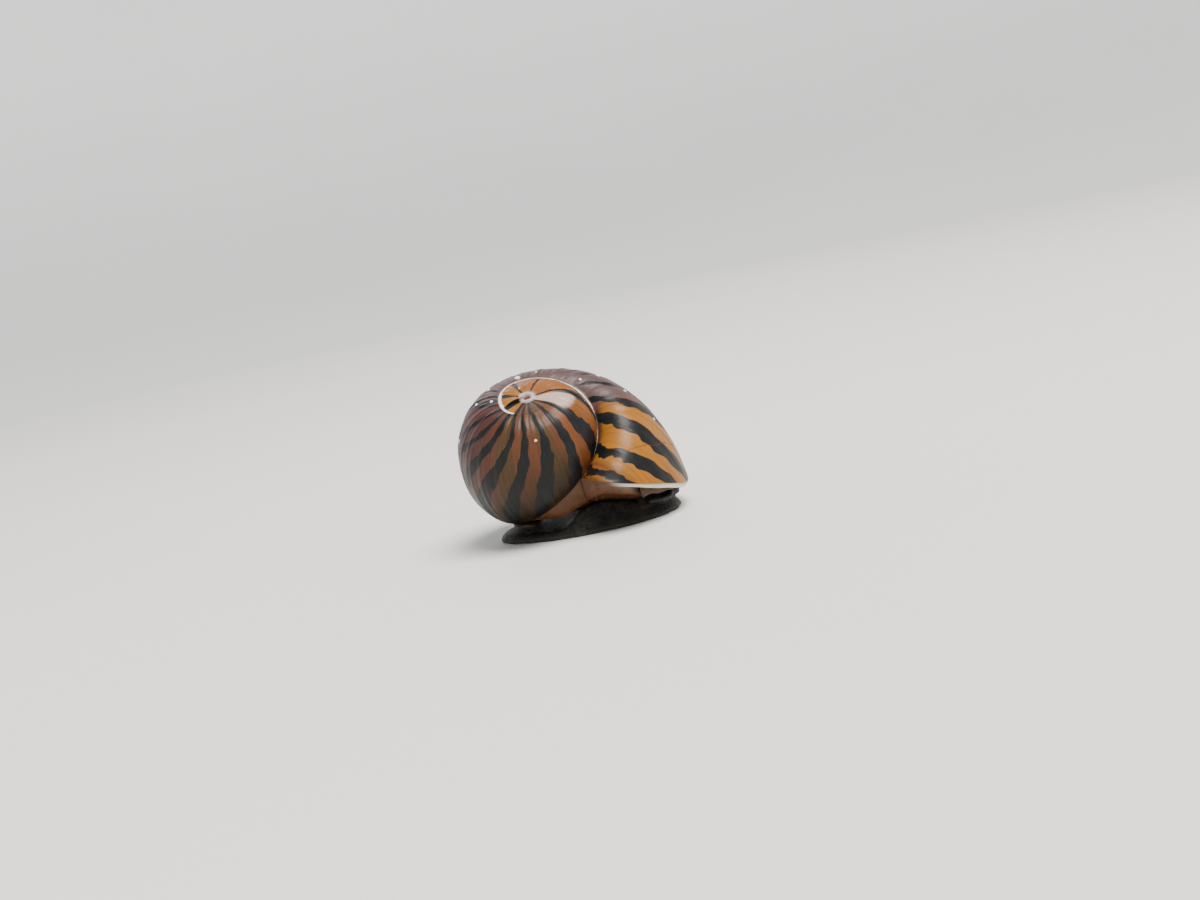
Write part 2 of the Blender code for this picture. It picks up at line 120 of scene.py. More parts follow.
def ringIndex(edge, rings, first):
    # index grid of rings that run in from a closed edge to one middle point
    inner = first + np.arange(rings * len(edge)).reshape(rings, len(edge))
    middle = np.full((1, len(edge)), first + rings * len(edge))
    index = np.concatenate([edge[None], inner, middle])
    return np.concatenate([index, index[:, :1]], axis=1)


def turnedOut(points, faces):
    # turns every face round where the closed surface holds a negative volume
    corners = points[faces]
    volume = np.einsum("ij,ij->i", corners[:, 0], np.cross(corners[:, 1], corners[:, 2])).sum()
    return faces if volume > 0 else faces[:, ::-1]


def polarSurface(rings, middleLow, middleHigh):
    # a closed surface from rings of points, closed by one point below and one above
    bottom = np.zeros(rings.shape[1], int)
    index = ringIndex(bottom, rings.shape[0], 1)
    points = np.concatenate([[middleLow], rings.reshape(-1, 3), [middleHigh]])
    return points, turnedOut(points - points.mean(axis=0), gridFaces(index))


def joined(parts):
    # several surfaces as one: their points end to end, and their faces moved on to match
    firsts = np.cumsum([0] + [len(part[0]) for part in parts])
    faces = [part[1] + first for part, first in zip(parts, firsts)]
    return np.concatenate([part[0] for part in parts]), np.concatenate(faces)


# The shell's shape
shellShape = {
    "knotTurns": (-2.0, -1.0, -0.5, 0.0, 0.12),  # turns at which the whorl's sizes are given
    "offset": (1.29, 2.34, 3.36, 7.94, 8.13),  # coiling axis to the middle of the whorl
    "halfWidth": (1.59, 3.67, 5.645, 5.31, 6.87),
    "halfHeight": (1.64, 4.33, 8.27, 11.40, 11.40),
    "depth": (0.90, 4.19, 7.885, 16.17, 18.32),  # apex down to the middle of the whorl
    "apex": (-3.40, -4.85, 13.81),
    "axis": (-0.0832, -0.4671, 0.8803),
    "start": (0.803, -0.5545, -0.2183),
    "heart": 6.0,  # depth on the axis of a point inside the whorls
    "lipAngle": 0.45,  # where the outer lip meets the suture
    "turnsMade": 1.75,
    "turnSteps": 288,
    "ribSteps": 96,
    "ribCrowding": 0.6,  # how much closer the steps lie at the suture and the lip
    "seekSuture": (-60, 200, 521),  # degrees round the section, and steps, in which the suture is looked for
    "seekEdge": (-120, 600),  # lowest degree, and steps, in which the underside's edge is
}
underShape = {
    "lipLow": 2.5,
    "lipSlope": 0.293,
    "lipSideSlope": 0.036,
    "lipReference": (5.34, -6.24, 4.2),
    "archSide": (-6.5, -0.5),
    "deckLow": 1.95,
    "deckBelowLip": 1.35,
    "deckRise": (-3.0, 2.5),
    "lipStart": (0.35, 0.62),  # turns back from the lip where the arch fades in
    "callusTurns": 0.1875,
    "callusEnd": -57,
    "centre": (1.0, 1.5),
    "flank": 0.84,
    "flankPower": 1.5,
    "deckEdge": (5.0, 0.8, 8.0),  # x of the opening's rear edge, its bow, and half the bow's width
    "teeth": (0.12, 7.0),  # depth, and waves in tau mm, of the low teeth on that edge
    "teethMiddle": 1.0,
    "teethReach": (1.6, 2.4),
    "edgeStart": (-0.35, -2.2),  # the mouth's blend over that edge, from and to, with what the rim adds
    "edgeEnd": (0.25, 0.6),
    "nearRim": (0.5, 1.5),
    "roof": 4.9,
    "wallSlope": 3.2,
    "lipRadius": ((1.0, 7.0), (0.12, 0.48)),  # thin at the back, thick in front
    "whiteFrom": (2.0, 5.0),  # x where the lip turns white
    "whiteTo": (1.2, 1.9),  # lip radii inwards where the white ends
    "openingPaint": 0.8,
    "rimShare": 0.16,
    "rimRings": 25,
    "innerRings": 28,
    "innerSpread": 1.2,
}
apex = np.array(shellShape["apex"])
axis = np.array(shellShape["axis"])
start = np.array(shellShape["start"])


def grown(sizes, angle):
    # logs of the sizes joined by a monotone cubic in the angle, straight before the first knot
    knots = np.array(shellShape["knotTurns"]) * tau
    logs = np.log(np.array(sizes))
    steps = np.diff(knots)
    slopes = np.diff(logs) / steps
    before, after = slopes[:-1], slopes[1:]
    near, far = 2 * steps[1:] + steps[:-1], steps[1:] + 2 * steps[:-1]
    alike = before * after > 0
    mean = (near + far) / (near / np.where(alike, before, 1) + far / np.where(alike, after, 1))
    ends = np.concatenate([slopes[:1], np.where(alike, mean, 0.0), slopes[-1:]])
    angle = np.asarray(angle, float)
    inside = np.clip(angle, knots[0], knots[-1])
    piece = np.clip(np.searchsorted(knots, inside, side="right") - 1, 0, len(steps) - 1)
    step = steps[piece]
    share = (inside - knots[piece]) / step
    log = (
        logs[piece] * (1 + 2 * share) * (1 - share) ** 2
        + ends[piece] * step * share * (1 - share) ** 2
        + logs[piece + 1] * share**2 * (3 - 2 * share)
        + ends[piece + 1] * step * share**2 * (share - 1)
    )
    return np.exp(log + np.minimum(angle - knots[0], 0.0) * slopes[0])


def whorlSizes(angle):
    return [grown(shellShape[name], angle) for name in ("offset", "halfWidth", "halfHeight", "depth")]


def whorlPoint(angle, rib):
    # an ellipse of the whorl's own size, at its own distance from the axis, turned round it by the angle
    offset, width, height, depth = whorlSizes(angle)
    out = (offset + width * np.cos(rib))[..., None]
    up = (height * np.sin(rib) - depth)[..., None]
    turn = np.asarray(angle, float)[..., None]
    return apex + out * (start * np.cos(turn) - np.cross(axis, start) * np.sin(turn)) + up * axis


def ribOf(points, angle):
    # angle round the section at which points of the whorl lie
    offset, width, height, depth = whorlSizes(angle)
    up = (points - apex) @ axis
    out = np.linalg.norm(points - apex - up[..., None] * axis, axis=-1)
    return np.arctan2((up + depth) / height, (out - offset) / width)


def crossing(places, field):
    # first place along each row where the field falls below zero, by straight interpolation
    first = np.argmax(field < 0, axis=1)
    rows = np.arange(len(field))
    high, low = field[rows, first - 1], field[rows, first]
    share = high / (high - low)
    return places[rows, first - 1] + share * (places[rows, first] - places[rows, first - 1])


def sutureRibs(angles):
    # the section's angle where it comes out of the whorl a turn before: the last crossing of the two ellipses
    lowest, highest, steps = shellShape["seekSuture"]
    ribs = np.radians(np.linspace(lowest, highest, steps))
    offset, width, height, depth = (size[:, None] for size in whorlSizes(angles))
    offsetIn, widthIn, heightIn, depthIn = (size[:, None] for size in whorlSizes(angles - tau))
    out = offset + width * np.cos(ribs)
    up = height * np.sin(ribs) - depth
    field = ((out - offsetIn) / widthIn) ** 2 + ((up + depthIn) / heightIn) ** 2 - 1
    return crossing(np.broadcast_to(ribs, field.shape), field)


def lipHeight(x, y):
    # a low level on the left, and on the right the height of a plane that slopes down to the front
    reference = underShape["lipReference"]
    plane = reference[2] + underShape["lipSlope"] * (reference[0] - x)
    plane = plane + underShape["lipSideSlope"] * (reference[1] - y)
    arched = 1 - smoothStep(y, *underShape["archSide"])
    return underShape["lipLow"] + arched * np.maximum(plane - underShape["lipLow"], 0.0)


def deckHeight(x, y):
    # a level at the back that rises in front to stay a little below the lip
    raised = np.maximum(lipHeight(x, y) - underShape["deckBelowLip"] - underShape["deckLow"], 0.0)
    return underShape["deckLow"] + raised * smoothStep(x, *underShape["deckRise"])


def cutRibs(angles, turns, tops, lipRib):
    # where the last turn ends: on the callus at first, then where it comes down to the deck or the lip
    lowest, steps = shellShape["seekEdge"]
    ribs = tops[:, None] + (radians(lowest) - tops[:, None]) * np.linspace(0, 1, steps)
    points = whorlPoint(np.repeat(angles[:, None], steps, 1), ribs)
    share = smoothStep(turns, *underShape["lipStart"])[:, None]
    lip = lipHeight(points[..., 0], points[..., 1])
    level = underShape["deckLow"] + share * (lip - underShape["deckLow"])
    low = crossing(ribs, points[..., 2] - level)
    callus = lipRib + (radians(underShape["callusEnd"]) - lipRib) * turns / underShape["callusTurns"]
    return np.where(turns < underShape["callusTurns"], callus, low)


def shellGrid():
    # rows go round the axis, columns go from the suture down to the next suture or to the underside
    turnSteps, ribSteps = shellShape["turnSteps"], shellShape["ribSteps"]
    rows = int(shellShape["turnsMade"] * turnSteps)
    firstOpen = rows - turnSteps
    angles = shellShape["lipAngle"] + (np.arange(rows + 1) - rows) * tau / turnSteps
    tops = sutureRibs(angles)
    sutures = whorlPoint(angles, tops)
    lipRib = ribOf(sutures[rows], angles[firstOpen])
    ends = np.empty(rows)
    ends[: firstOpen + 1] = ribOf(sutures[turnSteps : rows + 1], angles[: firstOpen + 1])
    turns = (np.arange(firstOpen + 1, rows) - firstOpen) / turnSteps
    ends[firstOpen + 1 :] = cutRibs(angles[firstOpen + 1 : rows], turns, tops[firstOpen + 1 : rows], lipRib)
    even = np.linspace(0, 1, ribSteps + 1)
    shares = even - shellShape["ribCrowding"] * np.sin(tau * even) / tau
    ribs = tops[:rows, None] + (ends - tops[:rows])[:, None] * shares
    place = whorlPoint(np.repeat(angles[:rows, None], ribSteps + 1, 1), ribs)
    degrees = np.degrees(angles[:rows, None] - angles[firstOpen]) + 0 * shares
    return place, degrees, np.broadcast_to(shares, degrees.shape), sutures, rows, firstOpen


# The shell's markings
# Degrees run from -270 at the apex by way of 0, a turn before the lip, to 360 at the lip. A share is 0 at the
# suture and 1 at the next one or at the underside.
bands = [  # middles of the dark bands at five shares, and their half widths there, all in degrees
    ((-236, -233, -230, -227, -225), (7, 8, 9, 10, 10)),
    ((-180, -178, -176, -174, -172), (5, 6, 6, 5, 5)),
    ((-122, -120, -110, -99, -95), (3.5, 3.5, 5, 10, 9)),
    ((-62, -57, -57, -56, -54), (3.5, 6, 7.5, 7.5, 7)),
    ((-18, -21, -21, -25, -26), (4.5, 6, 7.5, 8, 7.5)),
    ((1, 0, 0, 2.5, 5), (4.5, 4.5, 4.8, 5.6, 8)),
    ((25.5, 19, 23, 33, 45), (4, 3.4, 6, 8.5, 9)),
    ((40, 37.5, 45.5, 64, 76), (3, 3.2, 5.5, 7.5, 8)),
    ((53, 52.5, 71, 89, 100), (3.2, 3.2, 6, 7, 7)),
    ((66, 71, 93, 112, 122), (4, 3.5, 5.5, 6, 6)),
    ((77, 88, 119, 134, 142), (2.6, 3.2, 4.5, 6, 6)),
    ((90, 107, 134, 150, 156), (2.8, 3.2, 5, 5, 5)),
    ((107, 137, 158, 170, 174), (4, 3.5, 5, 5, 5)),
    ((250, 262, 270, 276, 280), (1.5, 1.8, 1.6, 1.4, 1.2)),
    ((264, 278, 283, 286, 287), (1.6, 2.0, 1.8, 1.5, 1.2)),
    ((285, 296, 296, 294, 291), (3, 3.2, 3.6, 3.0, 2.5)),
    ((304, 313.5, 316, 316.5, 308), (4.6, 5.0, 4.8, 4.4, 5)),
    ((329, 338, 335.5, 333, 326), (4, 4.2, 3.5, 4.6, 4)),
    ((347, 353.5, 354, 350, 348), (2.6, 3.6, 3.4, 3.4, 4)),
]
backBands = {  # the side that the bands above leave out: even steps, leaning less and less
    "first": 122, "step": 14.6, "count": 9, "lean": (60, 38), "bend": 0.6,
    "halfWidth": 2.9, "varies": 0.8, "shift": 2.4,
}  # fmt: skip
bandEdge = {
    "sway": 0.7, "swayWaves": (31, 9), "swayShift": 1.7,  # the middle line's, in degrees and radians
    "ripple": 0.5, "rippleWaves": 43, "rippleShift": 2.9,  # the half width's
    # bands faded on the top: wear, with a painted sheen that washes them out
    "rubbed": 0.34, "wornSheenDegrees": (158, 178, 250, 272), "wornSheenShares": (0.10, 0.36),  # mm off, and where
}  # fmt: skip
groundZones = {  # degrees, or shares where the name says so, between which a colour comes in, and goes out
    "lip": (288, 303), "lipShares": (0.02, 0.12), "lipDulls": (339, 348), "lipDulled": 0.50,
    "patches": (9, -1.4), "patchEdge": (-0.2, 0.8), "patchDepth": 0.75,
    "oliveShares": (0.5, 0.95), "oliveDepth": 0.7,
    # on top, greyer between the rubbed degrees: wear, with a painted sheen in that grey
    "top": (50, 105), "topShares": (0.42, 0.75), "rubbed": (150, 250, 286, 300),
    # painted shade: over these shares the lower part of each whorl is darkened by this much
    "paintedShadeShares": (0.42, 0.9), "darkened": 0.65,
    "spire": (-2, 6), "spireBrown": 0.25, "spireOrange": (8, 75), "spireOchre": (150, 200),
}  # fmt: skip
wornPatch = {"sector": (-60, -50, -26, -18), "ends": (0.22, 0.50), "lean": 0.006, "middle": -40}
crackShape = {
    "degrees": (300, 312, 318, 322, 332),
    "shares": (0.80, 0.70, 0.675, 0.62, 0.55),
    "whorlWidth": 18,  # mm from the suture to the underside there
}
growthRidges = ((0.020, 23, 2.5, 0), (0.016, 41, -3, 1), (0.010, 67, 0, 0))  # mm, waves a turn, lean, shift
ridgeShares = (0.0, 0.08, 0.9, 1.0)
growthStep = 0.17  # mm of the growth lines' pattern for each degree
seamShape = {
    "height": 0.11, "width": 0.17,
    "faint": (-12, -4, 28, 62), "faintDrop": 0.03, "faintWidth": 0.25, "faintPaint": 2.0,
    "risen": (168, 192, 282, 312), "rise": 0.06,
    "shoulder": (48, 78, 168, 192),  # degrees back round the spire where its shoulder is flattened
    "flattened": 0.27, "shoulderWidth": 2.8, "shoulderEnd": (0.6, 1.0),
}  # fmt: skip
# The worn first whorls: degrees and half widths of the dark wedges, and a ring round a pit with a bead in it
apexBands = (
    (-236, 7), (-180, 5), (-122, 3.5), (-62, 3.5), (-18, 4.5), (1, 4.5), (25.5, 4), (40, 3), (53, 6), (84, 7),
)  # fmt: skip
apexShape = {
    "rings": 20, "swell": 0.22,
    "ringRadius": 0.54, "ringWidth": 0.18, "ringHeight": 0.20, "ringStain": 0.27, "ringClears": 0.30,
    "pitDepth": 0.22, "pitWidth": 0.26, "pitDarkening": (0.20, 0.40), "pitClears": 2.0, "pitClearing": (0.2, 0.5),
    "beadHeight": 0.16, "beadWidth": 0.13, "beadUndarkened": (0.05, 0.14),
    "fanned": 0.8, "fanEnds": (0.6, 1.6), "ochreFrom": (50, 60),
    "wornRing": 0.55, "ringPaint": 0.85, "pitPaint": 0.95,
}  # fmt: skip
palette = {  # linear colours
    "ochre": (0.250, 0.097, 0.010),
    "orange": (0.215, 0.074, 0.014),
    "brown": (0.085, 0.029, 0.011),
    "olive": (0.050, 0.031, 0.008),
    "purple": (0.055, 0.020, 0.018),
    # grey of the worn top, with a painted sheen in it
    "grey": (0.082, 0.050, 0.048),
    "worn": (0.60, 0.46, 0.43),
    "ring": (0.46, 0.43, 0.46),
    "callus": (0.085, 0.036, 0.017),
    "lip": (0.66, 0.66, 0.56),
    "opening": (0.30, 0.25, 0.17),
    "pit": (0.060, 0.016, 0.012),
}


def bandField(degrees, shares, spacing):
    # signed distance in mm to the nearest band's edge, above zero inside: the half width less the distance
    # from the middle line, each with a sine down the whorl, and a little less along the top, where wear and a
    # painted sheen fade the bands
    made = list(bands)
    down = np.linspace(0, 1, 5)
    for number in range(backBands["count"]):
        top = backBands["first"] + backBands["step"] * number
        lean = np.interp(number, (0, backBands["count"] - 1), backBands["lean"])
        middle = top + lean * down * (1 + backBands["bend"] - backBands["bend"] * down)
        varied = np.sin(number * backBands["shift"] + np.arange(len(down)))
        made.append((middle, backBands["halfWidth"] + backBands["varies"] * varied))
    field = np.full(degrees.shape, -noneNear)
    wave, slowWave = bandEdge["swayWaves"]
    for number, (middle, wide) in enumerate(made):
        sway = np.sin(shares * wave + number * bandEdge["swayShift"]) * np.sin(shares * slowWave + number)
        ripple = np.sin(shares * bandEdge["rippleWaves"] + number * bandEdge["rippleShift"])
        centre = curveThrough(middle, shares) + bandEdge["sway"] * sway
        half = curveThrough(wide, shares) + bandEdge["ripple"] * ripple
        field = np.maximum(field, (half - np.abs(degrees - centre)) * spacing)
    # the top's bands fade: wear and painted sheen
    rubbed = bandEdge["rubbed"] * between(degrees, *bandEdge["wornSheenDegrees"])
    return field - rubbed * (1 - smoothStep(shares, *bandEdge["wornSheenShares"]))


def turnBetween(first, second):
    # smallest turn in degrees from the second bearing to the first
    return (first - second + 180) % 360 - 180


def groundColour(degrees, shares):
    # ochre by the lip, brown and olive on the side, with painted shade darkening the lower part, purple on
    # top and greyer where the top is worn and has a painted sheen, then orange on the spire, with ochre on
    # its oldest part
    zones = groundZones
    waves, shift = zones["patches"]
    patches = smoothStep(np.sin(np.radians(degrees) * waves + shift), *zones["patchEdge"])
    side = mixed(palette["brown"], palette["olive"], zones["patchDepth"] * patches)
    side = mixed(side, palette["olive"], zones["oliveDepth"] * smoothStep(shares, *zones["oliveShares"]))
    # painted sheen with wear: the top goes grey here
    top = mixed(palette["purple"], palette["grey"], between(degrees, *zones["rubbed"]))
    upper = smoothStep(degrees, *zones["top"]) * (1 - smoothStep(shares, *zones["topShares"]))
    colour = mixed(side, top, upper)
    # painted shade: the lower part of each whorl, away from the light above, is darkened
    colour = colour * (1 - zones["darkened"] * smoothStep(shares, *zones["paintedShadeShares"]))[..., None]
    lipSide = smoothStep(degrees, *zones["lip"]) * smoothStep(shares, *zones["lipShares"])
    lipSide = lipSide * (1 - zones["lipDulled"] * smoothStep(degrees, *zones["lipDulls"]))
    colour = mixed(colour, palette["ochre"], lipSide)
    older = zones["spireBrown"] + (1 - zones["spireBrown"]) * smoothStep(-degrees, *zones["spireOrange"])
    spire = mixed(palette["brown"], palette["orange"], older)
    spire = mixed(spire, palette["ochre"], smoothStep(-degrees, *zones["spireOchre"]))
    return mixed(spire, colour, smoothStep(degrees, *zones["spire"]))


def wornMask(degrees, shares):
    # the rubbed patch beside the apex: a sector between two dark bands that ends half way down the whorl
    down = shares + wornPatch["lean"] * (degrees - wornPatch["middle"])
    return between(degrees, *wornPatch["sector"]) * (1 - smoothStep(down, *wornPatch["ends"]))


def crackField(degrees, shares, spacing):
    # signed distance in mm from the crack, a bent line across the growth lines, larger past its ends
    ends = crackShape["degrees"][0], crackShape["degrees"][-1]
    line = np.interp(degrees, crackShape["degrees"], crackShape["shares"])
    off = (shares - line) * crackShape["whorlWidth"]
    past = np.maximum(np.abs(degrees - sum(ends) / 2) - (ends[1] - ends[0]) / 2, 0) * spacing
    return off + np.where(off < 0, -past, past)


# The shell piece
def outwardNormals(place):
    # cross product of the two ways along the grid, pointing away from a point on the axis
    normal = np.cross(np.gradient(place, axis=1), np.gradient(place, axis=0))
    normal /= np.linalg.norm(normal, axis=2)[..., None]
    row, column = place.shape[0] // 2, place.shape[1] // 2
    return normal * np.sign(normal[row, column] @ (place[row, column] - apex + shellShape["heart"] * axis))


def shellRelief(degrees, shares, travelled):
    # mm along the normal: growth ridges, each a sine of the angle, plus a bell across the suture, less half a
    # sine across the spire's shoulder. The distance to the seam and its faintness come back as well.
    seam = seamShape
    angle = np.radians(degrees)
    ridges = 0 * angle
    for height, waves, lean, shift in growthRidges:
        ridges = ridges + height * np.sin(waves * angle + lean * shares + shift)
    faint = between(degrees, *seam["faint"])
    lastWhorl = degrees > 0
    toNextSeam = travelled[:, -1:] - travelled + noneNear * lastWhorl
    toSeam = np.minimum(np.where(lastWhorl, travelled, noneNear), toNextSeam)
    shoulder = between(-degrees, *seam["shoulder"])
    risen = np.where(lastWhorl, between(degrees, *seam["risen"]), shoulder)
    thread = bell(toSeam, seam["width"] + seam["faintWidth"] * faint)
    thread = thread * (seam["height"] - seam["faintDrop"] * faint + seam["rise"] * risen)
    across = np.clip(toNextSeam / seam["shoulderWidth"], 0, 1)
    dip = np.sin(across * tau / 2) * (1 - smoothStep(across, *seam["shoulderEnd"]))
    relief = ridges * between(shares, *ridgeShares) + thread - seam["flattened"] * shoulder * dip
    return relief, toSeam, faint


def apexPart(loop, rim, first):
    # rings in from the first row to the middle: a swell of s - s^2 and a ring's bell, less a pit's bell that
    # has a bead's bell in it
    shape = apexShape
    shares = np.linspace(1, 0, shape["rings"] + 2)[1:-1]
    flat = apex + shares[:, None, None] * (rim - apex)
    out = np.linalg.norm(flat - apex, axis=2)
    pit = shape["pitDepth"] * bell(out, shape["pitWidth"])
    pit = pit - shape["beadHeight"] * bell(out, shape["beadWidth"])
    ring = shape["ringHeight"] * bell(out - shape["ringRadius"], shape["ringWidth"])
    lift = shape["swell"] * (shares - shares**2)[:, None] + ring - pit
    middle = apex + (shape["beadHeight"] - shape["pitDepth"]) * axis

    towards = (flat - apex) - ((flat - apex) @ axis)[..., None] * axis
    bearing = np.degrees(np.arctan2(-towards @ np.cross(axis, start), towards @ start))
    oldest = 360 * (shellShape["turnsMade"] - 1)
    degrees = (bearing - np.degrees(shellShape["lipAngle"]) + oldest) % 360 - oldest
    stain = bell(out - shape["ringRadius"], shape["ringStain"])
    # darker in the pit's hollow round the bead, and not on the bead itself
    pitDarkening = (1 - smoothStep(out, *shape["pitDarkening"])) * smoothStep(out, *shape["beadUndarkened"])
    band = np.full(out.shape, -noneNear)
    for bandMiddle, half in apexBands:
        wide = half * (1 + shape["fanned"] * (1 - smoothStep(out, *shape["fanEnds"])))
        band = np.maximum(band, (wide - np.abs(turnBetween(degrees, bandMiddle))) * out * tau / 360)
    band = band - shape["ringClears"] * stain
    band = band - shape["pitClears"] * (1 - smoothStep(out, *shape["pitClearing"]))
    colour = mixed(groundColour(degrees, 0 * out), palette["ochre"], smoothStep(degrees, *shape["ochreFrom"]))
    colour = mixed(colour, palette["ring"], shape["ringPaint"] * stain)
    colour = mixed(colour, palette["pit"], shape["pitPaint"] * pitDarkening)
    fields = {
        "band": withLast(band, -1.0),
        "worn": withLast(np.maximum(wornMask(degrees, 0 * out), shape["wornRing"] * stain), 0.0),
        "seam": np.full(out.size + 1, noneNear),
        "crack": np.full(out.size + 1, noneNear),
        "ground": withLast(opaque(colour), (*palette["pit"], 1)),
        "growth": withLast(np.stack([degrees * growthStep, out, 0 * out], axis=2), (0, 0, 0)),
    }
    points = withLast(flat + lift[..., None] * axis, middle)
    return points, gridFaces(ringIndex(loop, len(shares), first)), fields


def undersidePart(edge, rim, first):
    # rings in from the edge: the outer lip turns over in a half circle and climbs to the roof, the callus
    # comes down to the deck by a power of the share, and a smooth step over the deck's edge joins the two
    shape = underShape
    centre = np.array(shape["centre"])
    near = np.linspace(0, shape["rimShare"], shape["rimRings"] + 1)[1:]
    inner = np.linspace(0, 1, shape["innerRings"] + 2)[1:-1] ** shape["innerSpread"]
    shares = 1 - np.concatenate([near, shape["rimShare"] + (1 - shape["rimShare"]) * inner])
    flat = centre + shares[:, None, None] * (rim[:, :2] - centre)
    x, y = flat[..., 0], flat[..., 1]
    inward = (1 - shares)[:, None] * np.linalg.norm(rim[:, :2] - centre, axis=1)
    deck = deckHeight(x, y)
    rise = np.clip((shares - shape["flank"]) / (1 - shape["flank"]), 0, 1)[:, None] ** shape["flankPower"]
    callus = deck + np.maximum(rim[:, 2] - deck, 0) * rise
    radius = np.interp(rim[:, 0], *shape["lipRadius"])
    turned = rim[:, 2] - np.sqrt(np.maximum(radius**2 - (inward - radius) ** 2, 0)) * (inward < 2 * radius)
    turned = turned + np.clip(inward - 2 * radius, 0, None) * shape["wallSlope"]
    turned = np.minimum(turned, np.maximum(shape["roof"], rim[:, 2]))

    edgeX, bow, bowWidth = shape["deckEdge"]
    depth, waves = shape["teeth"]
    toothed = depth * (1 - smoothStep(np.abs(y - shape["teethMiddle"]), *shape["teethReach"]))
    rear = edgeX + bow * np.cos(np.clip(y / bowWidth, -1, 1) * tau / 4) + toothed * np.cos(y * waves)
    atRim = 1 - smoothStep(inward, *shape["nearRim"])
    (begins, beginsAtRim), (finishes, finishesAtRim) = shape["edgeStart"], shape["edgeEnd"]
    inMouth = smoothStep(x, rear + begins + beginsAtRim * atRim, rear + finishes + finishesAtRim * atRim)
    height = callus * (1 - inMouth) + turned * inMouth

    fades, ends = shape["whiteTo"]
    white = smoothStep(x, *shape["whiteFrom"]) * (1 - smoothStep(inward, fades * radius, ends * radius))
    colour = mixed(palette["callus"], palette["opening"], inMouth * shape["openingPaint"])
    colour = mixed(colour, palette["lip"], white)
    points = np.concatenate([flat, height[..., None]], axis=2)
    fields = {
        "band": np.full(inward.size + 1, -3.0),
        "worn": np.zeros(inward.size + 1),
        "seam": np.full(inward.size + 1, noneNear),
        "crack": np.full(inward.size + 1, noneNear),
        "ground": withLast(opaque(colour), (*palette["callus"], 1)),
        "growth": withLast(np.concatenate([flat * 0.5, inward[..., None]], axis=2), (0, 0, 0)),
    }
    faces = gridFaces(ringIndex(edge, len(shares), first))[:, ::-1]
    return withLast(points, (*centre, deckHeight(*centre))), faces, fields


def makeShell():
    place, degrees, shares, sutures, rows, firstOpen = shellGrid()
    turnSteps, ribSteps = shellShape["turnSteps"], shellShape["ribSteps"]
    normal = outwardNormals(place)
    spacing = np.linalg.norm(np.gradient(place, axis=0), axis=2) / (360 / turnSteps)
    steps = np.linalg.norm(np.diff(place, axis=1), axis=2)
    travelled = np.concatenate([np.zeros((rows, 1)), np.cumsum(steps, axis=1)], axis=1)
    relief, toSeam, faint = shellRelief(degrees, shares, travelled)
    place = place + normal * relief[..., None]

    # indices: a row's last point is the suture point one turn on, or the underside's edge
    tip = rows * ribSteps
    edgeRows = np.arange(firstOpen + 1, rows)
    index = np.full((rows + 1, ribSteps + 1), tip)
    index[:rows, :ribSteps] = np.arange(tip).reshape(rows, ribSteps)
    index[: firstOpen + 1, ribSteps] = index[turnSteps : rows + 1, 0]
    index[edgeRows, ribSteps] = tip + 1 + np.arange(len(edgeRows))

    def listed(values, atTip):
        # a grid's values in the order of those indices
        body = values[:, :ribSteps].reshape(-1, *values.shape[2:])
        return np.concatenate([body, [atTip], values[edgeRows, ribSteps]])

    ground = opaque(groundColour(degrees, shares))
    growth = np.stack([degrees * growthStep, travelled, 0 * degrees], axis=2)
    fields = {
        "band": listed(bandField(degrees, shares, spacing), -1.0),
        "worn": listed(wornMask(degrees, shares), 0.0),
        "seam": listed(toSeam + seamShape["faintPaint"] * faint, 0.0),
        "crack": listed(crackField(degrees, shares, spacing), noneNear),
        "ground": listed(ground, ground[-1, -1]),
        "growth": listed(growth, (360 * growthStep, 0, 0)),
    }
    points = listed(place, sutures[rows])
    parts = [(points, gridFaces(index), fields)]
    loop = np.concatenate([index[: turnSteps + 1, 0], index[0, ribSteps - 1 : 0 : -1]])
    parts.append(apexPart(loop, points[loop], len(points)))
    edge = np.concatenate([[tip], index[edgeRows, ribSteps]])
    parts.append(undersidePart(edge, points[edge], len(points) + len(parts[1][0])))
    fields = {name: np.concatenate([part[2][name] for part in parts]) for name in fields}
    allPoints, faces = (np.concatenate([part[number] for part in parts]) for number in (0, 1))
    shell = makePiece("shell_enamel", allPoints, turnedOut(allPoints, faces), fields)
    return shell, place, normal, degrees, shares, points[edge]


shell, shellPlaces, shellNormals, shellDegrees, shellShares, shellRim = makeShell()
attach(shell, "root")
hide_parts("shell")
print("shell made:", len(shell.data.polygons), "triangles")


# Lime specks
specks = [  # degrees, share down the whorl and size
    (199.2, 0.055, 0.30), (161.7, 0.136, 0.17), (135.2, 0.171, 0.15), (124.7, 0.055, 0.16),
    (126.2, 0.362, 0.16), (122.2, 0.412, 0.24), (263.3, 0.101, 0.15), (264.8, 0.266, 0.19),
    (219.8, 0.095, 0.12), (298.4, 0.583, 0.14), (27.5, 0.312, 0.13),
    (148.0, 0.52, 0.13), (188.0, 0.30, 0.15), (231.0, 0.44, 0.14), (-170.0, 0.12, 0.09),
    (283.3, 0.367, 0.16), (159.7, 0.131, 0.15), (297.9, 0.83, 0.15),
]  # fmt: skip
speckShape = {
    "around": 14, "rings": 5, "height": 0.62, "buried": 0.3, "lowest": -0.35,
    "lobes": (3, 0.10), "bumps": (5, 0.06), "sideways": (0.3, 0.9, 0.2),
}  # fmt: skip


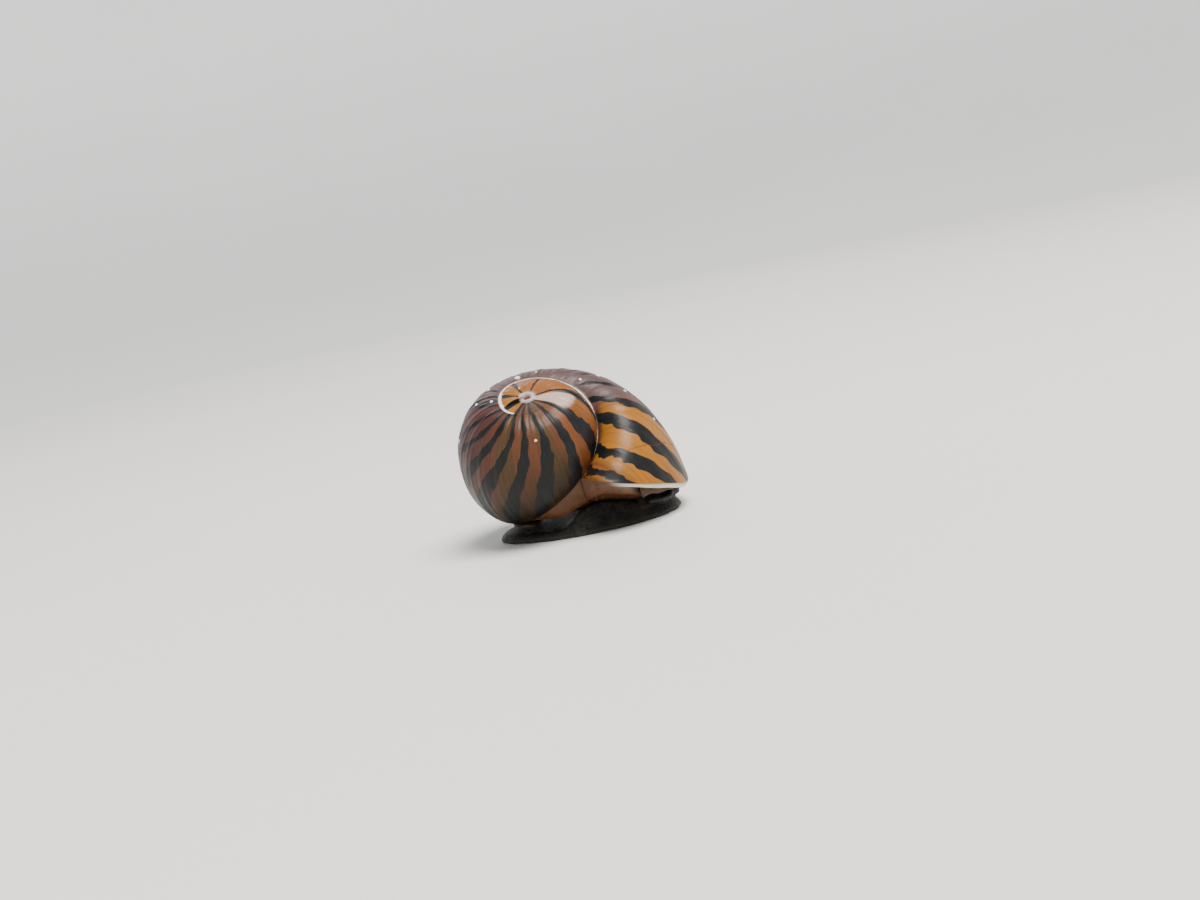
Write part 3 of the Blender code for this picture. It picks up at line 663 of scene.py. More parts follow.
def makeSpecks():
    # low round domes that sit on the whorl: a ball's rings pressed to part of its height, with wavy edges
    shape = speckShape
    turn = np.arange(shape["around"]) * tau / shape["around"]
    lean = np.linspace(shape["lowest"], tau / 4, shape["rings"] + 1)[:-1, None]
    (lobes, lobeDepth), (bumps, bumpDepth) = shape["lobes"], shape["bumps"]
    parts = []
    for number, (degree, share, size) in enumerate(specks):
        row = np.argmin(np.abs(shellDegrees[:, 0] - degree))
        column = np.argmin(np.abs(shellShares[0] - share))
        seat, up = shellPlaces[row, column], shellNormals[row, column]
        side = np.cross(up, shape["sideways"])
        side /= np.linalg.norm(side)
        other = np.cross(up, side)
        wave = 1 + lobeDepth * np.sin(lobes * turn + number) + bumpDepth * np.sin(bumps * turn + 2 * number)
        out = np.cos(lean) * wave
        rings = (out * np.cos(turn))[..., None] * side + (out * np.sin(turn))[..., None] * other
        rings = rings + shape["height"] * (np.sin(lean) + 0 * turn)[..., None] * up
        low, high = seat - shape["buried"] * size * up, seat + shape["height"] * size * up
        parts.append(polarSurface(seat + size * rings, low, high))
    return makePiece("lime_specks", *joined(parts))


limeSpecks = makeSpecks()
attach(limeSpecks, "root")
print("specks made")


# Flesh
skinShape = {
    "voxel": 0.095, "smoothing": 9,
    "length": 18.3, "width": 12.1, "squareness": 2.3, "rearTaper": 0.16,
    "soleProfile": ((0.955, 0.0), (0.985, 0.06), (1.0, 0.2), (0.995, 0.35)),  # share of the outline, height
    "scallops": (0.006, 17, 2, 3), "backRings": 44, "backShares": (0.985, 0.05),
    "shoulder": 0.6, "flankFrom": 0.97, "flankSlope": 1.7, "blend": 0.18, "thinnest": 0.42,
    "rearHeight": 0.85, "rearEnds": (-3.2, -0.6), "deckGap": 0.34,
}  # fmt: skip
headShape = {
    "middle": (7.8, 1.0, 1.7), "size": (1.6, 2.28, 0.8), "poles": 0.96,
    "snout": (0.2, 1.0), "snoutDrop": 0.25, "narrowed": 0.12,
    "cleft": (0.15, 0.16), "mouth": (0.13, -0.12, 0.10), "mouthEnds": (0.35, 0.6),
}  # fmt: skip
feelers = {
    "widths": (0.31, 0.24),
    "right": (
        (7.4, -0.4, 1.7), (8.0, -1.2, 1.75), (8.2, -2.4, 1.75),
        (7.9, -3.8, 1.7), (7.1, -5.0, 1.8), (6.0, -5.9, 2.0),
    ),
    "left": (
        (7.4, 2.4, 1.7), (8.0, 3.2, 1.75), (8.4, 4.5, 1.7),
        (8.3, 6.0, 1.6), (7.7, 7.5, 1.5), (6.8, 8.7, 1.4),
    ),
}  # fmt: skip
eyeStalks = {  # from the head's middle
    "root": (-0.75, 1.6, 0.18), "tip": (-0.95, 2.78, 0.38), "widths": (0.36, 0.25),
}  # fmt: skip
capShares = (0.02, 0.1, 0.25, 0.5, 0.75, 0.95)  # radii from a tube's tip at which its round end has a ring
mantleShape = {
    "inset": 1.7, "rear": 5.2, "low": 2.75, "drop": 0.4, "dropAt": (6.0, 8.2),
    "insideLip": 0.1, "pastLip": 0.25,
    "waves": ((0.09, 1.9, 1.3), (0.05, 4.7, -3.1)),
    "profile": ((0.90, 0.0), (0.975, 0.0), (0.995, 0.12), (1.0, 0.35), (1.0, 0.8), (0.985, 1.0)),
    "lowMiddle": (6.5, 0.4, 2.6), "highMiddle": (6.0, 0.4, 4.8), "topShare": 0.6, "topHeight": 4.7,
}  # fmt: skip
neckShape = {
    "low": (6.0, 0.4, 2.6, 5.4), "high": (5.1, 1.2, 1.7, 3.4),  # middle and half widths
    "sunk": 0.3, "lowest": 1.4, "bottom": 1.0, "top": 4.6,
}  # fmt: skip


def footHeight(x, y):
    # a low level at the rear that rises to a gap below the shell's deck
    deck = deckHeight(x, y) - skinShape["deckGap"]
    rear = skinShape["rearHeight"]
    return rear + smoothStep(x, *skinShape["rearEnds"]) * (deck - rear)


def footSurface():
    # a squared oval outline times shares from the sole's edge in over the back, with a thin scalloped margin.
    # The back is the lower of a slope and the foot's height, blended by the log of a sum of exponentials.
    shape = skinShape
    turn = np.arange(240) * tau / 240
    power = 2 / shape["squareness"]
    x = shape["length"] / 2 * np.abs(np.cos(turn)) ** power * np.sign(np.cos(turn))
    y = shape["width"] / 2 * np.abs(np.sin(turn)) ** power * np.sign(np.sin(turn))
    y = y * (1 - shape["rearTaper"] * smoothStep(-x, 0.0, shape["length"] / 2))
    depth, count, wander, wanderCount = shape["scallops"]
    scallop = 1 - depth * (1 + np.sin(turn * count + wander * np.sin(turn * wanderCount)))
    rings = []
    for share, level in shape["soleProfile"]:
        rings.append(np.stack([x * share * scallop, y * share * scallop, 0 * x + level], -1))
    for share in np.linspace(*shape["backShares"], shape["backRings"]):
        rise = shape["shoulder"] + (shape["flankFrom"] - share) * shape["width"] / 2 * shape["flankSlope"]
        top = footHeight(x * share, y * share)
        level = -shape["blend"] * np.log(np.exp(-rise / shape["blend"]) + np.exp(-top / shape["blend"]))
        rings.append(np.stack([x * share, y * share, np.maximum(level, shape["thinnest"])], -1))
    return polarSurface(np.array(rings), (0, 0, 0), (0, 0, footHeight(0.0, 0.0)))


def headSurface():
    # an ellipsoid drawn out to a broad snout, with two lobes and a cleft between them that ends in the mouth
    shape = headShape
    centre, size = np.array(shape["middle"]), np.array(shape["size"])
    lean = np.linspace(-shape["poles"], shape["poles"], 40)[:, None] * tau / 4
    turn = np.arange(96) * tau / 96
    unit = np.stack([np.cos(lean) * np.cos(turn), np.cos(lean) * np.sin(turn), np.sin(lean) + 0 * turn], -1)
    x, y, z = unit[..., 0], unit[..., 1], unit[..., 2]
    front = smoothStep(x, *shape["snout"])
    cleftDepth, cleftWidth = shape["cleft"]
    mouthDepth, mouthHeight, mouthWidth = shape["mouth"]
    lobes = 1 - cleftDepth * front * bell(y, cleftWidth)
    mouth = bell(z - mouthHeight, mouthWidth) * front * (1 - smoothStep(np.abs(y), *shape["mouthEnds"]))
    squeezed = np.stack([lobes * (1 - mouthDepth * mouth), 1 - shape["narrowed"] * front, 0 * front + 1], -1)
    place = centre + unit * size * squeezed
    place[..., 2] -= shape["snoutDrop"] * front
    return polarSurface(place, centre - (0, 0, size[2]), centre + (0, 0, size[2]))


def tubeSurface(route, widths, steps=60, sides=20):
    # a round section carried along a smooth curve, with half round ends
    route = np.array(route, float)
    at = np.linspace(0, 1, steps)
    line = np.stack([curveThrough(route[:, k], at) for k in range(3)], axis=1)
    ahead = np.gradient(line, axis=0)
    ahead /= np.linalg.norm(ahead, axis=1)[:, None]
    thick = np.interp(at, np.linspace(0, 1, len(widths)), widths)
    reach = 1 - np.array(capShares)
    caps = np.sqrt(1 - reach**2)
    before = line[0] - ahead[0] * thick[0] * reach[:, None]
    beyond = line[-1] + ahead[-1] * thick[-1] * reach[::-1, None]
    centres = np.concatenate([before, line, beyond])
    wide = np.concatenate([thick[0] * caps, thick, thick[-1] * caps[::-1]])
    heading = np.concatenate([np.repeat(ahead[:1], len(caps), 0), ahead, np.repeat(ahead[-1:], len(caps), 0)])
    side = np.cross(heading, (0, 0, 1.0))
    side /= np.linalg.norm(side, axis=1)[:, None]
    up = np.cross(side, heading)
    turn = (np.arange(sides) * tau / sides)[:, None]
    section = side[:, None] * np.cos(turn) + up[:, None] * np.sin(turn)
    rings = centres[:, None] + wide[:, None, None] * section
    return polarSurface(rings, line[0] - ahead[0] * thick[0], line[-1] + ahead[-1] * thick[-1])


def mantleSurface():
    # the mantle's skirt: the opening's outline a little inside the lip, from below the arch up into the shell
    shape = mantleShape
    outwards = shellRim[:, :2] - np.array(underShape["centre"])
    outwards /= np.linalg.norm(outwards, axis=1)[:, None]
    inward = shape["inset"] * np.interp(shellRim[:, 0], *underShape["lipRadius"])
    outline = shellRim[:, :2] - outwards * inward[:, None]
    ahead = outline[outline[:, 0] > shape["rear"]]
    x = np.maximum(outline[:, 0], shape["rear"])
    y = np.clip(outline[:, 1], ahead[:, 1].min(), ahead[:, 1].max())
    lip = lipHeight(x, y)
    low = shape["low"] - shape["drop"] * smoothStep(x, *shape["dropAt"])
    low = low + sum(high * np.sin(alongX * x + alongY * y) for high, alongX, alongY in shape["waves"])
    low = np.minimum(lip + shape["insideLip"], low)
    lowX, highX = shape["lowMiddle"][0], shape["highMiddle"][0]
    rings = []
    for share, rise in shape["profile"]:
        level = low + (lip + shape["pastLip"] - low) * rise
        rings.append(np.stack([lowX + (x - lowX) * share, y * share, level], -1))
    share = shape["topShare"]
    rings.append(np.stack([highX + (x - highX) * share, y * share, 0 * x + shape["topHeight"]], -1))
    return polarSurface(np.array(rings), shape["lowMiddle"], shape["highMiddle"])


def neckSurface():
    # the body that fills the opening: an oval section that narrows from the foot's back up into the shell
    shape = neckShape
    first, last = np.array(shape["low"]), np.array(shape["high"])
    turn = np.arange(120) * tau / 120
    rings = []
    for share in np.linspace(0, 1, 24):
        middleX, middleY, halfX, halfY = first + (last - first) * share
        x = middleX + halfX * np.cos(turn)
        y = middleY + halfY * np.sin(turn)
        low = np.minimum(footHeight(x, y) - shape["sunk"], shape["lowest"])
        rings.append(np.stack([x, y, low + (shape["top"] - low) * share], -1))
    return polarSurface(np.array(rings), (*first[:2], shape["bottom"]), (*last[:2], shape["top"]))


def makeSkin():
    # the parts run into one another, and a fine remesh and a few passes of smoothing make one skin of them
    parts = [footSurface(), headSurface(), neckSurface(), mantleSurface()]
    for side, sign in (("right", -1), ("left", 1)):
        parts.append(tubeSurface(feelers[side], feelers["widths"]))
        root, tip = (headShape["middle"] + np.array(eyeStalks[end]) * (1, sign, 1) for end in ("root", "tip"))
        parts.append(tubeSurface((root, (root + tip) / 2, tip), eyeStalks["widths"], steps=20))
    skin = makePiece("snail_skin", *joined(parts))
    remesh = skin.modifiers.new("remesh", "REMESH")
    remesh.mode = "VOXEL"
    remesh.voxel_size = skinShape["voxel"] * mm
    remesh.use_smooth_shade = True
    soften = skin.modifiers.new("soften", "SMOOTH")
    soften.factor = 0.5
    soften.iterations = skinShape["smoothing"]
    bpy.context.view_layer.update()
    graph = bpy.context.evaluated_depsgraph_get()
    finished = bpy.data.meshes.new_from_object(skin.evaluated_get(graph))
    skin.modifiers.clear()
    skin.data = finished
    finished.shade_smooth()
    return skin


skin = makeSkin()
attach(skin, "root")
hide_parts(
    "foot", "head", "mantle", "tentacle_right", "tentacle_left", "eye_stalk_right", "eye_stalk_left"
)  # fmt: skip
print("skin made:", len(skin.data.polygons), "faces")


# Eyes
eyeShape = {"poles": 0.97, "pole": 0.96, "flattened": 0.08, "flatFrom": (0.5, 1.0)}


def boxOf(node):
    # low and high corner of a solid in mm
    return [np.array(corner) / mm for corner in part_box(node)]


def makeEye(side):
    # a ball round the sideways axis, with a slight flat where it sits on its stalk
    low, high = boxOf("eye_" + side)
    centre, radius = (low + high) / 2, (high[0] - low[0]) / 2
    lean = np.linspace(-eyeShape["poles"], eyeShape["poles"], 28)[:, None] * tau / 4
    turn = np.arange(48) * tau / 48
    bead = np.stack([np.cos(lean) * np.cos(turn), np.sin(lean) + 0 * turn, np.cos(lean) * np.sin(turn)], -1)
    sign = -1 if side == "right" else 1
    squeeze = 1 - eyeShape["flattened"] * smoothStep(-bead[..., 1] * sign, *eyeShape["flatFrom"])
    pole = np.array((0, radius * eyeShape["pole"], 0))
    points, faces = polarSurface(centre + radius * bead * squeeze[..., None], centre - pole, centre + pole)
    eye = makePiece("eye_bead_" + side, points, faces)
    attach(eye, "root")
    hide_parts("eye_" + side)
    return eye


eyes = [makeEye(side) for side in ("right", "left")]
print("eyes made")


# Operculum
operculumShape = {
    "fill": 0.99, "thickness": 0.97,  # of the solid's own size
    "frontShare": 0.45,  # the straight side's bulge over the round side's
    "edgeProfile": ((0.1, 0.0), (0.5, 0.0), (0.9, 0.0), (0.985, 0.12), (1.0, 0.4), (0.985, 0.68)),
    "nucleus": (0.55, 1.9), "arcStretch": (1.0, 0.55), "arcs": 15, "arcHeight": 0.035,
    "shoulder": 0.78, "crown": 0.22,
}  # fmt: skip


def makeOperculum():
    # a half moon outline times shares: low arcs of growth on a shallow dome of 1 - share^2, flat below
    shape = operculumShape
    low, high = boxOf("operculum")
    centre, size = (low + high) / 2, high - low
    turn = np.arange(180) * tau / 180
    front = shape["frontShare"]
    x = np.cos(turn) * size[0] / (1 + front) * shape["fill"]
    x = np.where(x > 0, x * front, x) + size[0] / 2 * (1 - front) / (1 + front)
    y = np.sin(turn) * size[1] / 2 * shape["fill"]
    rings = [np.stack([x * share, y * share, 0 * x + level], -1) for share, level in shape["edgeProfile"]]
    for share in np.linspace(0.96, 0.03, 40):
        place = np.stack([x * share, y * share], -1)
        away = np.linalg.norm((place - shape["nucleus"]) * shape["arcStretch"], axis=-1)
        arcs = shape["arcHeight"] * np.sin(away * shape["arcs"]) * (1 - share**8)
        level = shape["shoulder"] + shape["crown"] * (1 - share**2) + arcs
        rings.append(np.stack([x * share, y * share, level], -1))
    thick = size[2] * shape["thickness"]
    foot = np.array((centre[0], centre[1], low[2]))
    points, faces = polarSurface(foot + np.array(rings) * (1, 1, thick), foot, foot + (0, 0, thick))
    plate = makePiece("operculum_plate", points, faces)
    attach(plate, "root")
    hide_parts("operculum")
    return plate


operculum = makeOperculum()
print("operculum made")


# Materials
class Wiring:
    # adds nodes to a tree and joins them
    def __init__(self, tree):
        self.tree = tree

    def add(self, kind, **values):
        node = self.tree.nodes.new(kind)
        for name, value in values.items():
            setattr(node, name, value)
        return node

    def join(self, source, target):
        self.tree.links.new(source, target)

    def fill(self, node, **values):
        for name, value in values.items():
            node.inputs[name].default_value = value

    def math(self, operation, *values):
        node = self.add("ShaderNodeMath", operation=operation)
        for socket, value in zip(node.inputs, values):
            if isinstance(value, (int, float)):
                socket.default_value = value
            else:
                self.join(value, socket)
        return node.outputs[0]

    def plus(self, value, other, factor):
        # a value, and another one times a factor
        return self.math("MULTIPLY_ADD", other, factor, value)

    def swayed(self, value, noise, amount):
        # a value moved up or down by a noise's distance from its middle times an amount
        return self.plus(value, self.math("SUBTRACT", noise, 0.5), amount)

    def range(self, value, low, high, outLow=0.0, outHigh=1.0):
        node = self.add("ShaderNodeMapRange", interpolation_type="SMOOTHSTEP")
        self.join(value, node.inputs["Value"])
        self.fill(node, **{"From Min": low, "From Max": high, "To Min": outLow, "To Max": outHigh})
        return node.outputs["Result"]

    def mix(self, share, first, second, blend="MIX"):
        node = self.add("ShaderNodeMix", data_type="RGBA", blend_type=blend)
        for socket, value in ((node.inputs[0], share), (node.inputs[6], first), (node.inputs[7], second)):
            if isinstance(value, (int, float)):
                socket.default_value = value
            elif isinstance(value, tuple):
                socket.default_value = (*value, 1.0)
            else:
                self.join(value, socket)
        return node.outputs[2]

    def noise(self, vector, scale, detail, roughness=0.55, distortion=0.0):
        node = self.add("ShaderNodeTexNoise")
        self.join(vector, node.inputs["Vector"])
        self.fill(node, Scale=scale, Detail=detail, Roughness=roughness, Distortion=distortion)
        return node.outputs["Fac"]

    def attribute(self, name, output="Fac"):
        return self.add("ShaderNodeAttribute", attribute_name=name).outputs[output]

    def apart(self, vector):
        node = self.add("ShaderNodeSeparateXYZ")
        self.join(vector, node.inputs[0])
        return node.outputs

    def bump(self, shader, height, distance, strength):
        node = self.add("ShaderNodeBump")
        self.fill(node, Distance=distance, Strength=strength)
        self.join(height, node.inputs["Height"])
        self.join(node.outputs["Normal"], shader.inputs["Normal"])

    def place(self, group, vector, **values):
        node = self.add("ShaderNodeGroup", node_tree=group)
        self.join(vector, node.inputs["Place"])
        self.fill(node, **values)
        return node.outputs


def newGroup(name, inputs, outputs):
    # a group with a vector and named numbers coming in, and named numbers going out
    group = bpy.data.node_groups.new(name, "ShaderNodeTree")
    group.interface.new_socket("Place", in_out="INPUT", socket_type="NodeSocketVector")
    for socket, value in inputs.items():
        made = group.interface.new_socket(socket, in_out="INPUT", socket_type="NodeSocketFloat")
        made.default_value = value
    for socket in outputs:
        group.interface.new_socket(socket, in_out="OUTPUT", socket_type="NodeSocketFloat")
    wiring = Wiring(group)
    return group, wiring, wiring.add("NodeGroupInput").outputs, wiring.add("NodeGroupOutput").inputs


def makeGrowthLines():
    # lines along the growth: noise drawn out along it, coarse and fine, and the two mixed as a height
    numbers = {"Stretch": 0.06, "Fineness": 3.0}
    group, wiring, given, out = newGroup("growthLines", numbers, ("Streaks", "Threads", "Height"))
    scale = wiring.add("ShaderNodeCombineXYZ")
    wiring.join(given["Fineness"], scale.inputs[0])
    wiring.join(wiring.math("MULTIPLY", given["Fineness"], given["Stretch"]), scale.inputs[1])
    wiring.join(given["Fineness"], scale.inputs[2])
    drawn = wiring.add("ShaderNodeVectorMath", operation="MULTIPLY")
    wiring.join(given["Place"], drawn.inputs[0])
    wiring.join(scale.outputs[0], drawn.inputs[1])
    streaks = wiring.noise(drawn.outputs[0], 1.0, 5.0, roughness=0.62)
    threads = wiring.noise(drawn.outputs[0], 4.0, 3.0, roughness=0.7)
    wiring.join(streaks, out["Streaks"])
    wiring.join(threads, out["Threads"])
    wiring.join(wiring.plus(wiring.math("MULTIPLY", streaks, 0.6), threads, 0.4), out["Height"])
    return group


def makeMottle():
    # soft blotches, finer specks and a fine wrinkled height, all in object space
    group, wiring, given, out = newGroup("mottle", {"Size": 600.0}, ("Blotches", "Specks", "Wrinkles"))
    scaled = wiring.add("ShaderNodeVectorMath", operation="SCALE")
    wiring.join(given["Place"], scaled.inputs[0])
    wiring.join(given["Size"], scaled.inputs["Scale"])
    specks = wiring.noise(scaled.outputs[0], 7.0, 2.0)
    cells = wiring.add("ShaderNodeTexVoronoi", feature="SMOOTH_F1")
    wiring.join(scaled.outputs[0], cells.inputs["Vector"])
    cells.inputs["Scale"].default_value = 5.0
    wiring.join(wiring.noise(scaled.outputs[0], 1.0, 3.0, distortion=0.4), out["Blotches"])
    wiring.join(wiring.range(specks, 0.55, 0.72), out["Specks"])
    wrinkles = wiring.math("MULTIPLY", cells.outputs["Distance"], 0.7)
    wiring.join(wiring.plus(wrinkles, specks, 0.5), out["Wrinkles"])
    return group


growthLines = makeGrowthLines()
mottle = makeMottle()


def newMaterial(name, piece, finish):
    # the values that are the same all over a piece go straight on the shader's sockets
    material = bpy.data.materials.new(name)
    material.use_nodes = True
    wiring = Wiring(material.node_tree)
    shader = material.node_tree.nodes["Principled BSDF"]
    for socket, value in finish["shader"].items():
        shader.inputs[socket].default_value = value
    piece.data.materials.clear()
    piece.data.materials.append(material)
    return wiring, shader, wiring.add("ShaderNodeTexCoord").outputs["Object"]


# In each finish, four numbers are a range of a noise or a distance, and what it becomes.
# A bump is metres and strength.
shellFinish = {
    "shader": {"Coat Weight": 0.05, "Coat Roughness": 0.08, "Specular IOR Level": 0.18},
    "lines": {"Stretch": 0.05, "Fineness": 2.6},
    "patches": 330.0,
    "streakTint": (0.45, 0.36, 0.32), "streaked": (0.40, 0.70, 0.0, 0.45),
    "patchTint": (1.35, 1.2, 1.1), "patched": (0.45, 0.75, 0.0, 0.35),
    "ink": (0.0045, 0.0050, 0.0055), "inkStreak": (0.036, 0.036, 0.038),
    "inkStreaked": (0.52, 0.78, 0.0, 0.5), "inkThins": (0.95, 1.30, 1.0, 0.35),
    "bandSoftness": 0.045, "bandSway": 0.5, "thinSway": 0.5,
    "wornStreak": (0.36, 0.22, 0.17), "wornStreaked": (0.4, 0.65, 0.0, 1.0),
    "wornSway": 0.7, "rubbed": (0.35, 0.9, 0.0, 0.72),
    "crack": (0.060, 0.012, 0.006), "crackSway": 0.7, "crackEdge": (0.03, 0.11, 0.9, 0.0), "crackDepth": -0.8,
    "seam": (0.80, 0.70, 0.68), "seamSway": 0.25, "seamEdge": (0.0825, 0.18, 0.9, 0.0),
    "roughness": (0.3, 0.7, 0.34, 0.50), "speckRoughness": 0.12,
    "bump": (0.00006, 0.40), "wrinkles": 0.10,
}  # fmt: skip
skinFinish = {
    "shader": {"Coat Weight": 0.05, "Coat Roughness": 0.12, "Specular IOR Level": 0.16},
    "patches": 900.0, "fine": 3200.0,
    "dark": (0.004, 0.004, 0.0035), "pale": (0.014, 0.012, 0.009), "paled": (0.4, 0.65, 0.0, 1.0),
    "speck": (0.036, 0.032, 0.022), "specked": 0.5,
    "soleEdge": (0.070, 0.062, 0.040), "soleEdged": (0.0, 0.0006, 0.30, 0.0),
    "skirtDark": (0.030, 0.017, 0.010), "skirtPale": (0.085, 0.046, 0.026),
    "skirt": (-0.00135, -0.00105, 0.0, 1.0), "skirtSide": (-0.0020, -0.0005, 1.0, 0.0), "skirtSway": 0.0003,
    "roughness": (0.3, 0.7, 0.42, 0.70), "bump": (0.00016, 0.7), "fineWrinkles": 0.35,
}  # fmt: skip
eyeFinish = {
    "shader": {"Roughness": 0.08, "Coat Weight": 1.0, "Coat Roughness": 0.03},
    "patches": 5000.0, "dark": (0.003, 0.003, 0.004), "pale": (0.018, 0.014, 0.012), "bump": (0.00001, 0.3),
}  # fmt: skip
operculumFinish = {
    "shader": {"Coat Weight": 0.05, "Coat Roughness": 0.3, "Specular IOR Level": 0.15},
    "lines": {"Stretch": 0.35, "Fineness": 1500.0},
    "patches": 700.0,
    "pale": (0.050, 0.034, 0.022), "dark": (0.016, 0.011, 0.008), "darkened": (0.35, 0.7, 0.0, 1.0),
    "horn": (0.075, 0.055, 0.038), "horned": (0.5, 0.8, 0.0, 0.5),
    "roughness": (0.3, 0.7, 0.5, 0.7), "bump": (0.00008, 0.6),
}  # fmt: skip
speckFinish = {
    "shader": {
        "Coat Weight": 0.4, "Coat Roughness": 0.15, "Subsurface Weight": 0.1,
        "Subsurface Radius": (0.0012, 0.0008, 0.0005), "Subsurface Scale": 1.0,
    },
    "patches": 2600.0, "white": (0.80, 0.84, 0.84), "grey": (0.55, 0.60, 0.56),
    "roughness": (0.3, 0.7, 0.25, 0.55), "bump": (0.00005, 0.5),
}  # fmt: skip


def finishShell():
    # ground colour, streaks and patches, then ink in the bands, the rubbed patch, the crack and the pale seam
    finish = shellFinish
    wiring, shader, place = newMaterial("shell_enamel", shell, finish)
    lines = wiring.place(growthLines, wiring.attribute("growth", "Vector"), **finish["lines"])
    patches = wiring.place(mottle, place, Size=finish["patches"])
    streaks, threads, blotches = lines["Streaks"], lines["Threads"], patches["Blotches"]
    ground = wiring.attribute("ground", "Color")
    tinted = wiring.mix(1.0, ground, finish["streakTint"], "MULTIPLY")
    ground = wiring.mix(wiring.range(streaks, *finish["streaked"]), ground, tinted)
    tinted = wiring.mix(1.0, ground, finish["patchTint"], "MULTIPLY")
    ground = wiring.mix(wiring.range(blotches, *finish["patched"]), ground, tinted)
    ink = wiring.mix(wiring.range(threads, *finish["inkStreaked"]), finish["ink"], finish["inkStreak"])
    soft = finish["bandSoftness"]
    inked = wiring.range(wiring.swayed(wiring.attribute("band"), streaks, finish["bandSway"]), -soft, soft)
    worn = wiring.attribute("worn")
    thinned = wiring.range(wiring.plus(worn, streaks, finish["thinSway"]), *finish["inkThins"])
    colour = wiring.mix(wiring.math("MULTIPLY", inked, thinned), ground, ink)
    rubbed = wiring.range(wiring.swayed(worn, streaks, finish["wornSway"]), *finish["rubbed"])
    wornStreaks = wiring.range(threads, *finish["wornStreaked"])
    colour = wiring.mix(rubbed, colour, wiring.mix(wornStreaks, palette["worn"], finish["wornStreak"]))
    wander = wiring.swayed(wiring.attribute("crack"), blotches, finish["crackSway"])
    cracked = wiring.range(wiring.math("ABSOLUTE", wander), *finish["crackEdge"])
    colour = wiring.mix(cracked, colour, finish["crack"])
    seam = wiring.swayed(wiring.attribute("seam"), blotches, finish["seamSway"])
    colour = wiring.mix(wiring.range(seam, *finish["seamEdge"]), colour, finish["seam"])
    wiring.join(colour, shader.inputs["Base Color"])
    rough = wiring.range(streaks, *finish["roughness"])
    wiring.join(wiring.plus(rough, patches["Specks"], finish["speckRoughness"]), shader.inputs["Roughness"])
    height = wiring.plus(lines["Height"], patches["Wrinkles"], finish["wrinkles"])
    wiring.bump(shader, wiring.plus(height, cracked, finish["crackDepth"]), *finish["bump"])


def finishSkin():
    # near black, with paler blotches and specks, a paler edge to the sole, and brown on the mantle's skirt
    finish = skinFinish
    wiring, shader, place = newMaterial("dark_flesh", skin, finish)
    patches = wiring.place(mottle, place, Size=finish["patches"])
    fine = wiring.place(mottle, place, Size=finish["fine"])
    blotches = patches["Blotches"]
    colour = wiring.mix(wiring.range(blotches, *finish["paled"]), finish["dark"], finish["pale"])
    specked = wiring.math("MULTIPLY", patches["Specks"], finish["specked"])
    colour = wiring.mix(specked, colour, finish["speck"])
    x, y, z = wiring.apart(place)
    colour = wiring.mix(wiring.range(z, *finish["soleEdged"]), colour, finish["soleEdge"])
    # height in metres above the lip's plane on the arched side: what is just below it is the skirt
    reference = underShape["lipReference"]
    plane = (reference[2] + underShape["lipSlope"] * reference[0]) * mm
    above = wiring.math("SUBTRACT", wiring.plus(z, x, underShape["lipSlope"]), plane)
    skirt = wiring.range(wiring.plus(above, blotches, finish["skirtSway"]), *finish["skirt"])
    skirt = wiring.math("MULTIPLY", skirt, wiring.range(y, *finish["skirtSide"]))
    colour = wiring.mix(skirt, colour, wiring.mix(blotches, finish["skirtDark"], finish["skirtPale"]))
    wiring.join(colour, shader.inputs["Base Color"])
    wiring.join(wiring.range(fine["Blotches"], *finish["roughness"]), shader.inputs["Roughness"])
    height = wiring.plus(patches["Wrinkles"], fine["Wrinkles"], finish["fineWrinkles"])
    wiring.bump(shader, height, *finish["bump"])


def finishEyes():
    finish = eyeFinish
    for eye in eyes:
        wiring, shader, place = newMaterial(eye.name.replace("bead", "black"), eye, finish)
        patches = wiring.place(mottle, place, Size=finish["patches"])
        colour = wiring.mix(patches["Blotches"], finish["dark"], finish["pale"])
        wiring.join(colour, shader.inputs["Base Color"])
        wiring.bump(shader, patches["Blotches"], *finish["bump"])


def finishOperculum():
    # horn with dark growth lines and paler patches
    finish = operculumFinish
    wiring, shader, place = newMaterial("operculum_plate", operculum, finish)
    lines = wiring.place(growthLines, place, **finish["lines"])
    patches = wiring.place(mottle, place, Size=finish["patches"])
    colour = wiring.mix(wiring.range(lines["Streaks"], *finish["darkened"]), finish["pale"], finish["dark"])
    colour = wiring.mix(wiring.range(patches["Blotches"], *finish["horned"]), colour, finish["horn"])
    wiring.join(colour, shader.inputs["Base Color"])
    wiring.join(wiring.range(lines["Streaks"], *finish["roughness"]), shader.inputs["Roughness"])
    wiring.bump(shader, lines["Height"], *finish["bump"])


def finishSpecks():
    finish = speckFinish
    wiring, shader, place = newMaterial("lime_white", limeSpecks, finish)
    patches = wiring.place(mottle, place, Size=finish["patches"])
    wiring.join(wiring.mix(patches["Blotches"], finish["white"], finish["grey"]), shader.inputs["Base Color"])
    wiring.join(wiring.range(patches["Blotches"], *finish["roughness"]), shader.inputs["Roughness"])
    wiring.bump(shader, patches["Wrinkles"], *finish["bump"])


finishShell()
finishSkin()
finishEyes()
finishOperculum()
finishSpecks()
print("materials made")


# Stage, light and camera
stageShape = {  # metres
    "middleRings": (0.05, 0.2), "flat": 0.9, "wall": 2.4, "height": 1.3, "around": 96, "sweepSteps": 24,
    "shader": {"Roughness": 0.75, "Emission Strength": 1.0},
    "colour": (0.70, 0.69, 0.67), "cloud": (0.679, 0.6693, 0.6499), "clouded": (0.3, 0.7), "cloudScale": 6.0,
    "glowReach": (0.25, 1.3, 0.0, 0.40),  # the floor glows a little further out, where the lamps fall off
    "glowHeight": (0.0, 0.5, 0.0, 0.32),
}  # fmt: skip


